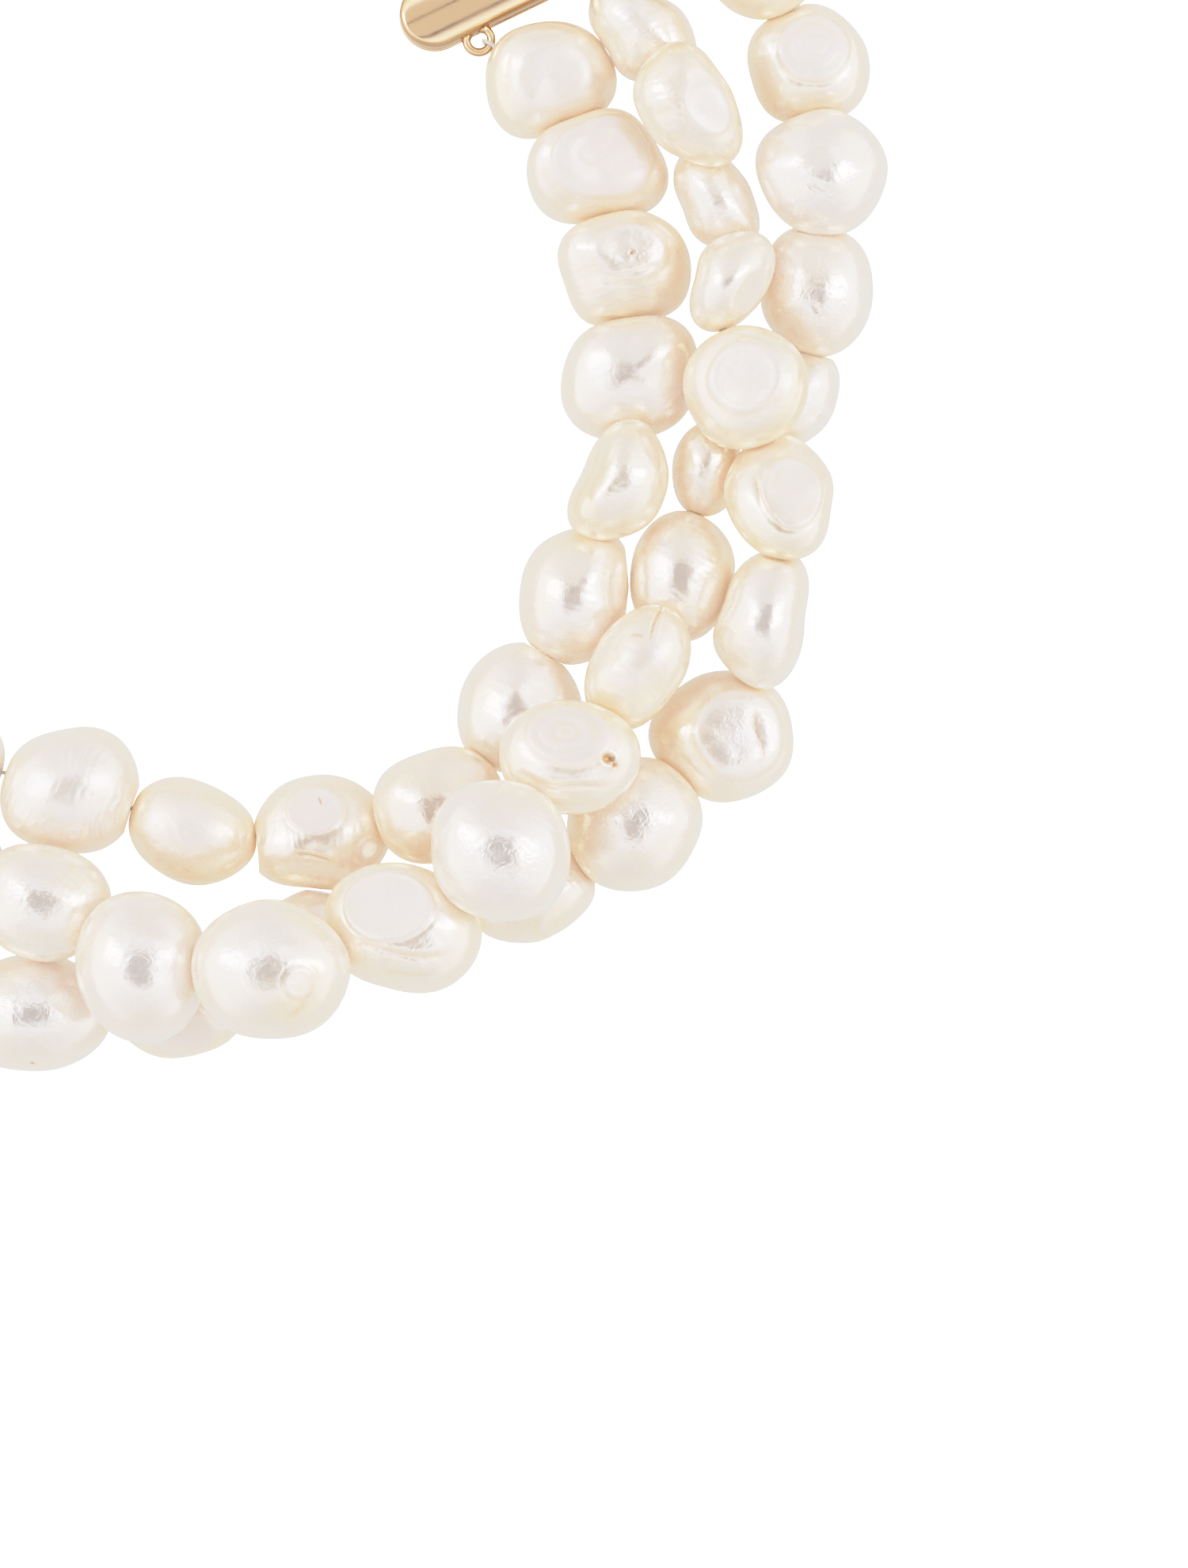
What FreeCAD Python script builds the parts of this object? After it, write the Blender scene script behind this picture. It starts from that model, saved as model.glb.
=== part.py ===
# Three-row graduated pearl necklace on a slide-in box clasp.
# Frame: +Z up from the table, origin at the middle of the clasp's underside,
# units millimetres.  The clasp lies along the direction turned clasp_turn
# degrees from +X; the rows are strung from its three box rings, round the loop
# and back to the three rings on its tongue.
import FreeCAD, Part
import math
import os

Vector = FreeCAD.Vector
Placement = FreeCAD.Placement
Rotation = FreeCAD.Rotation
UP = Vector(0, 0, 1)

doc = FreeCAD.newDocument("necklace")

# ---------------------------------------------------------------- dimensions
# The clasp is drawn with its length along x, the box rings on the -y side and
# the tongue on the +y side.  "_at" is a y position (tab_at: x), "_low" an underside.
CELLS = [
    # pearls and silk
    ("pearl_scale", 1.0),      # multiplies every pearl's three half-axes
    ("bore_rad", 0.4),         # drilled hole through each pearl
    ("silk_rad", 0.2),
    ("facet_side", 16.0),      # cutting block for a pearl's flat side
    ("facet_thick", 4.0),
    # clasp outline
    ("clasp_long", 38.8),      # overall length
    ("clasp_half", 3.15),      # half width of the box
    ("base_half", 3.25),       # half width of the base plate: a small rim
    ("plate_half", 3.2),       # half width at the tongue's end plate
    ("clasp_high", 3.8),       # height at the crown
    ("crown_rad", 8.0),        # radius of the domed cover
    ("crown_long", 80.0),      # cylinder that shapes the dome
    ("trim_long", 60.0),       # trimming blocks, longer than the clasp
    # base and cover
    ("base_thick", 0.5),
    ("wall_thick", 0.4),
    ("cover_round", 0.45),     # edge rounding of the cover
    ("ceiling_at", 2.9),       # height of the cover's underside
    ("mouth_at", 2.65),        # plane of the box's mouth
    ("window_long", 19.0),     # opening for the tongue
    ("window_top", 2.55),
    ("window_at", 1.6),
    ("window_deep", 2.0),
    # clasp rings
    ("ring_rad", 1.15),        # centre line
    ("ring_wire", 0.4),        # wire radius
    ("ring_out", 3.9),         # ring centre from the clasp's middle line
    ("ring_up", 1.9),          # ring centre above the table
    ("ring_pitch", 13.6),      # ring to ring
    ("ring_wall", 6.0),        # length of the block that trims each ring
    # tongue
    ("plate_at", 2.7),         # inner face of the end plate
    ("leaf_thick", 0.3),
    ("leaf_wide", 18.0),
    ("leaf_low", 0.75),        # underside of the lower leaf
    ("leaf_reach", 4.7),       # lower leaf length
    ("fold_at", -2.0),         # fold line of the folded strip
    ("fold_up", 1.2),
    ("fold_rad", 0.3),
    ("leaf_slope", 15.3),      # rise of the sprung leaf, degrees
    ("leaf_start", 0.36),      # sprung leaf's start, from the fold line
    ("leaf_run", 3.95),
    # thumb tab: a narrow neck and a wider pad
    ("tab_at", 6.8),           # from the middle of the clasp
    ("tab_wide", 3.0),
    ("tab_room", 0.3),         # clearance each side in the end plate
    ("gap_at", 2.0),
    ("gap_low", 1.45),
    ("neck_inset", 0.4),       # neck narrower than the pad, each side
    ("neck_at", 2.15),
    ("neck_low", 2.13),
    ("neck_reach", 1.4),
    ("pad_at", 3.35),
    ("pad_low", 2.08),
    ("pad_reach", 1.0),
    ("pad_thick", 0.4),
    ("clasp_turn", 25.805),    # direction of the clasp's length, degrees
]
DIM = dict(CELLS)

dims = doc.addObject("Spreadsheet::Sheet", "dims")
for row, (alias, value) in enumerate(CELLS, start=1):
    dims.set("A%d" % row, alias)
    dims.set("B%d" % row, str(value))
    dims.setAlias("B%d" % row, alias)
doc.recompute()

TURN = Placement(Vector(0, 0, 0), Rotation(UP, DIM["clasp_turn"]))
LIE_ALONG_X = Rotation(Vector(0, 1, 0), 90)
COVER_EDGE_RISE = 1.5          # cover edges higher than this above the base are rounded

nodes = []                     # compounds to export
drilled_pearls = []


# ------------------------------------------------------------------- helpers
def prim(kind, name, place=None, **expressions):
    """Part primitive; each keyword drives a property ("__" stands for a dot)."""
    obj = doc.addObject("Part::" + kind, name)
    if place is not None:
        obj.Placement = place
    for prop, expression in expressions.items():
        obj.setExpression(prop.replace("__", "."), expression)
    return obj


def box(name, size, corner, rotation=None):
    """Box from expressions for its three sizes and its lowest corner."""
    place = Placement(Vector(0, 0, 0), rotation or Rotation())
    return prim("Box", name, place, Length=size[0], Width=size[1], Height=size[2],
                Placement__Base__x=corner[0], Placement__Base__y=corner[1],
                Placement__Base__z=corner[2])


def trim_block(name, y, width, low="-1", height="10"):
    """Block across the whole clasp, from y towards +y."""
    return box(name, ("dims.trim_long", width, height), ("-dims.trim_long / 2", y, low))


def cut(name, base, tool):
    obj = doc.addObject("Part::Cut", name)
    obj.Base = base
    obj.Tool = tool
    obj.Refine = False
    return obj


def common(name, base, tool):
    obj = doc.addObject("Part::Common", name)
    obj.Base = base
    obj.Tool = tool
    return obj


def fuse(name, shapes):
    obj = doc.addObject("Part::MultiFuse", name)
    obj.Shapes = shapes
    return obj


def group(name, links, place=None):
    """A piece to export, made of one or more separate solids."""
    obj = doc.addObject("Part::Compound", name)
    obj.Links = links
    obj.Label = name
    if place is not None:
        obj.Placement = place
    nodes.append(obj)


def stadium(name, half, low, high):
    """Bar with two rounded ends, from z=low to z=high (sheet expressions)."""
    span = "(dims.clasp_long - 2 * dims.clasp_half)"
    height = "(%s) - (%s)" % (high, low)
    parts = [box(name + "_bar", (span, "2 * " + half, height),
                 ("-" + span + " / 2", "-" + half, low))]
    for tag, sign in (("_left", "-"), ("_right", "")):
        parts.append(prim("Cylinder", name + tag, Radius=half, Height=height,
                          Placement__Base__x=sign + span + " / 2",
                          Placement__Base__z=low))
    return fuse(name, parts)


def domed_bar(kind, half, low):
    """Stadium bar cut to the dome by a large cylinder lying along the clasp."""
    bar = stadium(kind + "_bar", half, low, "dims.clasp_high + 1")
    crown = prim("Cylinder", kind + "_crown", Placement(Vector(0, 0, 0), LIE_ALONG_X),
                 Radius="dims.crown_rad", Height="dims.crown_long",
                 Placement__Base__x="-dims.crown_long / 2",
                 Placement__Base__z="dims.clasp_high - dims.crown_rad")
    return common(kind + "_dome", bar, crown)


# --------------------------------------------------------------------- clasp
def build_base():
    """Base plate, open on the tongue side."""
    bar = stadium("base_bar", "dims.base_half", "0", "dims.base_thick")
    trim = trim_block("base_trim", "dims.mouth_at", "10")
    group("clasp_base", [cut("base_cut", bar, trim)], TURN)


def build_cover():
    """Domed shell with a mouth on the tongue side."""
    dome = domed_bar("cover", "dims.clasp_half", "dims.base_thick")
    doc.recompute()            # the dome's edges are needed to pick the rounded ones
    soft = doc.addObject("Part::Fillet", "cover_soft")
    soft.Base = dome
    soft.Edges = [(number, DIM["cover_round"], DIM["cover_round"])
                  for number, edge in enumerate(dome.Shape.Edges, start=1)
                  if edge.BoundBox.ZMin > DIM["base_thick"] + COVER_EDGE_RISE]

    hollow_bar = stadium("hollow_bar", "(dims.clasp_half - dims.wall_thick)",
                         "dims.base_thick - 1", "dims.ceiling_at")
    hollow_trim = trim_block("hollow_trim", "dims.mouth_at - dims.wall_thick", "10",
                             low="-5", height="20")
    shell = cut("cover_shell", soft, cut("hollow", hollow_bar, hollow_trim))
    opened = cut("cover_open", shell, trim_block("mouth_trim", "dims.mouth_at", "10"))
    window = box("window", ("dims.window_long", "dims.window_deep", "dims.window_top + 1"),
                 ("-dims.window_long / 2", "dims.window_at", "-1"))
    group("clasp_cover", [cut("cover_cut", opened, window)], TURN)


def build_rings(node, name, sign, face):
    """Three wire rings set against one long wall, cut off at its face."""
    rings = []
    for place, factor in (("inner", "-1"), ("middle", "0"), ("outer", "1")):
        tag = "%s_%s" % (name, place)
        ring_x = factor + " * dims.ring_pitch"
        torus = prim("Torus", tag, Radius1="dims.ring_rad", Radius2="dims.ring_wire",
                     Placement__Base__x=ring_x,
                     Placement__Base__y=sign + " * dims.ring_out",
                     Placement__Base__z="dims.ring_up")
        wall = box(tag + "_wall", ("dims.ring_wall", face, "8"),
                   (ring_x + " - dims.ring_wall / 2", "-" + face if sign == "-1" else "0", "-1"))
        rings.append(cut(tag + "_cut", torus, wall))
    group(node, rings, TURN)


def build_tongue_plate():
    """End plate that closes the mouth, with a gap for the thumb tab."""
    dome = domed_bar("plate", "dims.plate_half", "0")
    flat = common("plate_flat", dome, trim_block("plate_keep", "dims.plate_at", "6"))
    gap = box("tab_gap", ("dims.tab_wide + 2 * dims.tab_room", "3", "6"),
              ("dims.tab_at - dims.tab_wide / 2 - dims.tab_room", "dims.gap_at",
               "dims.gap_low"))
    group("tongue_plate", [cut("plate_cut", flat, gap)], TURN)


def build_tongue_spring():
    """Lower leaf of the folded strip, with the fold at its inner end."""
    low_leaf = box("low_leaf", ("dims.leaf_wide", "dims.leaf_reach", "dims.leaf_thick"),
                   ("-dims.leaf_wide / 2", "dims.fold_at", "dims.leaf_low"))
    fold = prim("Cylinder", "fold", Placement(Vector(0, 0, 0), LIE_ALONG_X),
                Radius="dims.fold_rad", Height="dims.leaf_wide",
                Placement__Base__x="-dims.leaf_wide / 2",
                Placement__Base__y="dims.fold_at", Placement__Base__z="dims.fold_up")
    group("tongue_spring", [fuse("spring_strip", [low_leaf, fold])], TURN)


def build_catch_leaf():
    """Sprung upper leaf that springs up behind the lip of the mouth."""
    slope = math.radians(DIM["leaf_slope"])
    cosine, sine = math.cos(slope), math.sin(slope)
    leaf = box("leaf", ("dims.leaf_wide", "dims.leaf_run", "dims.leaf_thick"),
               ("-dims.leaf_wide / 2",
                "dims.fold_at + dims.leaf_start * %.6f + dims.leaf_thick / 2 * %.6f"
                % (cosine, sine),
                "dims.fold_up + dims.leaf_start * %.6f - dims.leaf_thick / 2 * %.6f"
                % (sine, cosine)),
               Rotation(Vector(1, 0, 0), DIM["leaf_slope"]))
    group("catch_leaf", [leaf], TURN)
    return leaf


def build_thumb_tab(leaf):
    """Thumb tab carried on the leaf through the mouth."""
    tab_left = "dims.tab_at - dims.tab_wide / 2"
    neck = box("neck", ("dims.tab_wide - 2 * dims.neck_inset", "dims.neck_reach",
                        "dims.leaf_thick"),
               (tab_left + " + dims.neck_inset", "dims.neck_at", "dims.neck_low"))
    pad = box("pad", ("dims.tab_wide", "dims.pad_reach", "dims.pad_thick"),
              (tab_left, "dims.pad_at", "dims.pad_low"))
    group("thumb_tab", [cut("tab_trim", fuse("tab_solid", [neck, pad]), leaf)], TURN)


# -------------------------------------------------------------- pearl tables
# Each row is strung in segments: b1 to b4 lead away from the box rings, t4 to
# t1 come back to the tongue rings.  Pearls are counted from 1 along each row.
# Columns: centre, half-axes, turn (quaternion).
PEARLS = {
    "inner": {
        "b1": [
            ((-4.2176, -12.8496, 4.1823), (5.767, 5.183, 4.015), (0.16265, 0.0694, 0.09631, 0.97952)),
            ((0.396, -21.3645, 4.604), (6.278, 5.183, 3.796), (0.30897, 0.16352, -0.05323, 0.93539)),
            ((2.9088, -30.5032, 4.5512), (6.132, 5.256, 3.942), (0.29334, 0.11399, -0.13546, 0.93947)),
            ((3.3525, -40.6244, 4.4743), (6.278, 5.475, 4.234), (0.21215, -0.01179, 0.03997, 0.97635)),
            ((2.3976, -49.973, 8.164), (4.818, 5.548, 4.088), (0.67462, -0.24085, 0.68512, 0.13229)),
            ((-1.833, -60.4449, 5.1109), (6.278, 5.037, 5.11), (-0.00879, -0.00896, -0.69003, 0.72367)),
            ((-6.8919, -71.1852, 4.9641), (5.84, 5.621, 4.964), (0.00354, 0.00331, -0.01288, 0.99991)),
            ((-13.9843, -79.8182, 7.6014), (5.913, 4.964, 4.526), (-0.00476, 0.03883, 0.1737, 0.98402)),
            ((-24.8471, -82.1266, 4.3887), (6.059, 5.402, 4.38), (-0.01238, 0.03225, -0.10286, 0.9941)),
            ((-36.7076, -82.1587, 4.8185), (5.913, 4.526, 4.818), (-0.00085, -0.00285, -0.21017, 0.97766)),
            ((-47.9988, -78.2738, 5.1101), (5.84, 5.694, 5.11), (0.00706, -0.00222, 0.00044, 0.99997)),
            ((-59.0967, -75.7386, 4.526), (5.256, 4.526, 4.526), (0.0, -1e-05, -0.00151, 1.0)),
        ],
        "b2": [
            ((-70.4151, -72.7875, 4.8321), (6.284, 4.5258, 4.8321), (-5e-05, 1e-05, 0.99402, 0.10922)),
            ((-81.413, -68.5479, 4.2698), (5.9114, 5.3447, 4.2698), (-0.0, -0.0, 0.5539, 0.83258)),
        ],
        "b3": [
            ((-91.1084, -63.6279, 4.4776), (5.9668, 5.3045, 4.4776), (-0.0, -0.0, 0.49559, 0.86856)),
            ((-100.7589, -56.9497, 5.0726), (6.3585, 4.5386, 5.0726), (-3e-05, 2e-05, 0.89108, 0.45384)),
        ],
        "b4": [
            ((-109.5239, -48.4774, 3.9915), (5.8773, 5.5212, 3.9915), (-7e-05, -0.0, 0.5901, 0.80733)),
            ((-115.9395, -38.6626, 5.0769), (5.9576, 4.6329, 5.0769), (-2e-05, 2e-05, 0.84928, 0.52794)),
            ((-119.856, -27.9058, 4.1714), (5.9434, 5.1572, 4.1714), (0.0, 0.0, -0.02083, 0.99978)),
            ((-120.3639, -17.3286, 4.9441), (6.0358, 5.1523, 4.9441), (-0.0, 0.0, 0.17185, 0.98512)),
        ],
        "t4": [
            ((-118.22, -6.3733, 4.9649), (6.4227, 5.459, 4.9649), (-0.0, -0.0, -0.2411, 0.9705)),
            ((-113.4299, 3.7944, 5.0034), (5.6738, 4.3481, 5.0033), (0.0, -1e-05, 0.39353, 0.91931)),
            ((-106.5981, 12.4777, 4.408), (6.209, 5.186, 4.408), (-2e-05, 5e-05, -0.28541, 0.9584)),
            ((-97.9726, 19.1738, 5.1247), (6.3742, 5.38, 5.1243), (-1e-05, -1e-05, -0.53157, 0.84702)),
        ],
        "t3": [
            ((-87.4918, 24.3062, 4.787), (4.4506, 6.0877, 4.787), (0.56291, 0.82652, -1e-05, -0.0)),
            ((-76.3277, 27.2894, 5.1113), (6.0608, 5.2087, 5.1111), (0.0, 1e-05, -0.49731, 0.86757)),
            ((-65.0058, 28.5376, 5.0976), (5.832, 4.6003, 5.0969), (8e-05, -0.00028, 0.10678, 0.99428)),
        ],
        "t2": [
            ((-53.6862, 27.9605, 4.132), (6.6231, 5.3948, 4.132), (0.00023, -0.00041, -0.67669, 0.73627)),
            ((-42.4841, 25.2038, 4.1571), (6.4587, 5.4847, 4.1571), (0.00063, -0.0005, 0.92842, -0.37152)),
            ((-31.9004, 19.9994, 4.9456), (6.036, 4.2233, 4.9447), (8e-05, 0.00024, -0.2134, 0.97696)),
        ],
        "t1": [
            ((-23.013, 12.6041, 4.6024), (6.4196, 5.4335, 4.6019), (4e-05, 0.00164, 0.89094, -0.45411)),
            ((-16.5498, 4.0107, 3.8082), (5.9265, 5.0726, 3.8052), (0.0006, 0.01237, 0.93213, -0.36192)),
        ],
    },
    "middle": {
        "b1": [
            ((4.3207, -8.9881, 5.4931), (5.694, 3.358, 4.964), (0.0435, 0.17288, -0.39536, 0.90106)),
            ((8.6902, -16.2428, 10.7183), (5.621, 4.38, 4.234), (0.11403, 0.15226, -0.44899, 0.87305)),
            ((11.3104, -24.2983, 4.6861), (4.964, 3.358, 4.672), (0.06521, 0.09253, -0.46718, 0.87689)),
            ((12.0602, -32.2905, 9.3757), (5.402, 3.431, 4.818), (-0.06549, -0.02282, 0.90872, -0.41161)),
            ((13.8721, -41.7744, 10.6805), (5.986, 5.402, 3.796), (0.01181, -0.19266, 0.14237, 0.97081)),
            ((10.2233, -48.7563, 4.599), (4.38, 3.358, 3.796), (0.08784, 0.05579, -0.69359, 0.71282)),
            ((8.0193, -58.7811, 4.83), (5.767, 4.672, 4.818), (-0.04177, -0.03381, 0.7476, -0.66197)),
            ((3.8887, -67.1899, 9.736), (4.234, 6.059, 4.088), (0.65231, -0.27176, 0.70211, 0.08754)),
            ((-2.2737, -75.3754, 12.8792), (6.278, 5.11, 4.088), (0.0255, -0.02756, -0.05987, 0.9975)),
            ((-8.2761, -83.7675, 17.2212), (6.57, 6.059, 5.256), (-0.00789, 0.00755, -0.38132, 0.92438)),
            ((-17.3887, -90.7743, 13.4249), (7.081, 5.694, 4.818), (-0.00486, -0.01731, -0.17112, 0.98509)),
            ((-28.9022, -94.5572, 17.843), (7.081, 6.351, 5.256), (0.00822, -0.0032, -0.14963, 0.9887)),
            ((-40.9753, -94.5943, 13.672), (6.789, 5.767, 5.548), (0.01019, 0.02676, -0.6349, 0.77206)),
            ((-49.9828, -88.5245, 9.0601), (5.767, 5.402, 4.818), (-0.01915, 0.03177, 0.00519, 0.9993)),
            ((-59.1469, -85.056, 4.526), (4.526, 5.256, 4.526), (-0.57136, -0.4166, 0.57433, -0.41249)),
        ],
        "b2": [
            ((-70.0576, -86.3405, 4.3175), (6.1299, 5.4987, 4.3175), (0.00024, -0.00041, 0.63338, 0.77384)),
            ((-80.6022, -83.8089, 4.3011), (6.5183, 4.8805, 4.3011), (-2e-05, 3e-05, 0.69983, 0.71431)),
            ((-90.1959, -79.8586, 3.993), (6.4445, 4.8719, 3.993), (-0.0, -0.0, 0.43719, 0.89937)),
        ],
        "b3": [
            ((-99.6588, -74.7451, 4.5062), (6.1585, 5.5642, 4.5062), (0.0, 0.0, 0.36546, 0.93083)),
            ((-108.9022, -68.3655, 4.1067), (5.8367, 5.3068, 4.1067), (0.0, 0.0, 0.51629, 0.85642)),
            ((-116.8606, -61.1632, 3.9048), (6.2669, 4.9936, 3.9048), (0.0, 0.0, 0.22215, 0.97501)),
        ],
        "b4": [
            ((-123.7701, -52.6979, 4.516), (6.4219, 5.3981, 4.516), (0.0, 0.0, 0.06249, 0.99805)),
            ((-129.5268, -42.4437, 5.1661), (5.973, 4.2112, 5.1661), (-2e-05, 1e-05, 0.85127, 0.52472)),
            ((-133.3213, -31.6685, 4.0533), (5.8893, 5.0475, 4.0533), (-2e-05, -1e-05, -0.05023, 0.99874)),
            ((-134.4144, -20.8909, 4.7506), (6.2914, 5.4944, 4.7506), (-1e-05, -0.0, -0.07559, 0.99714)),
            ((-133.6737, -10.0119, 3.8637), (6.0868, 5.0285, 3.8637), (-1e-05, 1e-05, 0.06645, 0.99779)),
        ],
        "t4": [
            ((-130.7173, 0.6331, 4.0265), (6.3733, 5.5924, 4.0265), (-2e-05, 0.0, -0.24257, 0.97013)),
            ((-125.5653, 10.945, 4.2591), (6.1332, 5.4841, 4.2591), (-1e-05, -0.0, -0.53195, 0.84678)),
            ((-118.6135, 20.1512, 4.1121), (6.1582, 5.4697, 4.1121), (0.0, 0.0, -0.1042, 0.99456)),
            ((-109.9697, 27.8518, 4.7661), (6.26, 5.5775, 4.7661), (2e-05, -4e-05, -0.22429, 0.97452)),
            ((-100.347, 34.0543, 4.0555), (6.4381, 5.3155, 4.0555), (6e-05, 0.0, -0.64172, 0.76694)),
        ],
        "t3": [
            ((-90.3752, 38.1473, 4.1946), (5.7108, 5.1015, 4.1946), (0.0, 0.0, -0.45481, 0.89059)),
            ((-80.1212, 40.8005, 4.5989), (6.1126, 5.1127, 4.5989), (-2e-05, 0.0001, -0.46459, 0.88553)),
            ((-69.1928, 42.2399, 5.2105), (5.2022, 5.5542, 4.1243), (-0.48838, -0.5113, -0.48868, 0.51114)),
            ((-58.3629, 42.4942, 3.8567), (6.3303, 5.1557, 3.8567), (0.00016, -0.00041, 0.74878, -0.66282)),
        ],
        "t2": [
            ((-47.3962, 40.9097, 4.927), (6.2881, 5.6642, 4.9146), (-0.0002, 0.00052, -0.58484, 0.81115)),
            ((-36.3953, 37.9467, 4.6482), (5.9261, 5.1569, 4.6423), (-0.00101, 0.00059, 0.91123, -0.41189)),
            ((-26.3915, 33.2085, 4.0466), (6.3339, 5.5667, 4.0465), (-0.00151, 0.00119, 0.93571, -0.35275)),
        ],
        "t1": [
            ((-17.3383, 26.9885, 4.1247), (5.9855, 5.1335, 4.1247), (0.00111, -0.00322, 0.926, -0.37751)),
            ((-9.7753, 19.1249, 4.8818), (6.183, 5.4678, 4.8785), (0.00367, -0.00342, 0.98725, -0.15912)),
            ((-3.4746, 9.6915, 5.7263), (6.2286, 5.6087, 4.9612), (0.00961, 0.0255, 0.91895, -0.39343)),
        ],
    },
    "outer": {
        "b1": [
            ((15.3842, -2.5452, 6.2318), (5.548, 5.11, 4.526), (0.00298, -0.00027, 0.00965, 0.99995)),
            ((19.8036, -11.973, 4.2475), (5.548, 5.183, 4.234), (0.05526, 0.01047, 0.00805, 0.99838)),
            ((20.9704, -21.9363, 7.4363), (5.986, 5.329, 5.11), (0.04547, 0.00339, 0.00125, 0.99896)),
            ((20.52, -32.7108, 4.8208), (5.621, 5.256, 4.818), (-0.00866, -0.02255, -0.70606, 0.70774)),
            ((17.8993, -42.5152, 3.8069), (4.818, 4.38, 3.796), (-0.02522, -0.04487, -0.00204, 0.99867)),
            ((17.5751, -51.6934, 8.8687), (6.059, 4.964, 3.942), (-0.16861, -0.13504, -0.60284, 0.76806)),
            ((15.7207, -62.9484, 7.9007), (5.11, 5.986, 4.161), (0.6848, -0.04613, 0.71728, 0.12013)),
            ((12.2015, -73.4511, 4.5324), (6.497, 5.621, 4.526), (-0.00217, -0.02572, -0.06549, 0.99752)),
            ((3.7847, -81.7163, 6.5433), (6.059, 5.84, 5.11), (0.00694, -0.01028, -0.01549, 0.9998)),
            ((-5.766, -87.7022, 4.3815), (5.402, 4.745, 4.38), (-0.00509, 0.01732, 0.16205, 0.98662)),
            ((-16.1572, -90.9864, 4.2345), (5.256, 4.526, 4.234), (-0.00033, -0.00993, 0.01947, 0.99976)),
            ((-26.5748, -91.9541, 3.9421), (4.38, 4.818, 3.942), (0.70709, 0.70711, 0.00017, 0.0038)),
            ((-38.1418, -97.5545, 4.2354), (6.132, 5.183, 4.234), (-0.00342, -0.01227, -0.00156, 0.99992)),
            ((-51.1344, -98.9217, 5.2579), (6.789, 5.694, 5.256), (-0.03071, 0.00577, -0.01347, 0.99942)),
        ],
        "b2": [
            ((-63.6073, -98.7143, 4.6413), (5.8301, 5.3196, 4.6413), (0.0, 0.0, 0.8409, 0.54119)),
            ((-74.8553, -98.0773, 4.8472), (5.7417, 5.4419, 4.8472), (0.00011, -0.00021, 0.71205, 0.70212)),
            ((-85.5201, -95.8781, 4.1545), (6.043, 5.1762, 4.1545), (-3e-05, 3e-05, 0.70691, 0.7073)),
            ((-96.0583, -92.9442, 4.5484), (5.7029, 5.4955, 4.5484), (-1e-05, -1e-05, 0.63349, 0.77375)),
        ],
        "b3": [
            ((-105.8767, -87.8122, 4.0188), (6.209, 5.1263, 4.0188), (-2e-05, 0.0, 0.67735, 0.73566)),
            ((-115.097, -81.7083, 4.2246), (6.3153, 5.2084, 4.2246), (-1e-05, -2e-05, 0.26003, 0.9656)),
            ((-123.5739, -74.5159, 5.128), (5.128, 5.6329, 4.1834), (0.30158, -0.63957, 0.30158, 0.63957)),
            ((-131.3935, -66.2295, 5.0642), (5.5658, 4.4006, 5.0642), (0.0, 0.0, 0.86487, 0.502)),
        ],
        "b4": [
            ((-138.1252, -56.8884, 4.9111), (3.9083, 5.7692, 4.9111), (-0.20537, 0.97869, 0.0, 0.0)),
            ((-143.4072, -46.6897, 4.7495), (5.8401, 5.3669, 4.7495), (0.0, 0.0, -0.04423, 0.99902)),
            ((-146.9524, -36.0126, 4.6262), (5.7792, 5.5233, 4.6262), (0.0, 0.0, -0.01799, 0.99984)),
            ((-148.7301, -25.072, 4.1737), (6.4882, 5.2522, 4.1737), (0.0, 0.0, 0.07014, 0.99754)),
            ((-148.4269, -14.0356, 5.053), (4.4245, 5.6309, 5.053), (0.10332, 0.99465, 0.0, 0.0)),
            ((-146.8242, -2.813, 3.9002), (5.9232, 5.2978, 3.9002), (0.0, 0.0, -0.3257, 0.94547)),
        ],
        "t4": [
            ((-143.026, 7.9054, 5.0316), (5.7816, 4.2675, 5.0316), (0.0, 0.0, 0.57933, 0.81509)),
            ((-138.2698, 17.921, 3.794), (6.4735, 4.9816, 3.794), (0.0, 0.0, -0.35674, 0.9342)),
            ((-132.1155, 26.4607, 4.2023), (5.9008, 5.1748, 4.2023), (0.0, 0.0, -0.47059, 0.88235)),
            ((-124.5237, 34.5974, 3.9993), (5.7106, 5.6352, 3.9993), (0.0, 0.0, -0.21496, 0.97662)),
            ((-115.2743, 41.72, 4.7162), (5.8252, 4.4177, 4.7162), (0.0, 0.0, 0.18746, 0.98227)),
            ((-105.4057, 47.4849, 4.4229), (6.2134, 5.0886, 4.4229), (0.0, 0.0, -0.27243, 0.96218)),
        ],
        "t3": [
            ((-94.9645, 51.7142, 4.4011), (5.8742, 5.476, 4.4011), (0.0, 0.0, -0.34705, 0.93785)),
            ((-84.2947, 54.7598, 3.8586), (6.4507, 5.2957, 3.8586), (0.0, 0.0, -0.59921, 0.80059)),
            ((-73.631, 56.3571, 4.4585), (5.7351, 5.0681, 4.4585), (0.0, -1e-05, -0.4825, 0.87589)),
            ((-62.7939, 56.9608, 4.0788), (6.2812, 5.3361, 4.0788), (-1e-05, 1e-05, 0.77974, -0.6261)),
        ],
        "t2": [
            ((-51.9647, 56.1683, 4.4737), (6.0336, 5.2165, 4.4737), (1e-05, -1e-05, 0.79988, -0.60017)),
            ((-40.9909, 54.0141, 5.1228), (5.7876, 4.4477, 5.1218), (0.0, -1e-05, -0.04045, 0.99918)),
            ((-29.9742, 50.4817, 4.9828), (5.7264, 5.6303, 4.9791), (-9e-05, 0.0003, 0.72703, -0.6866)),
            ((-20.0293, 45.8577, 4.0075), (5.9452, 5.0523, 4.0075), (-0.00046, 0.00032, 0.92806, -0.37243)),
        ],
        "t1": [
            ((-11.0577, 39.9352, 3.9395), (5.8765, 5.4048, 3.9395), (7e-05, -0.00126, 0.81849, -0.57451)),
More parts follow.
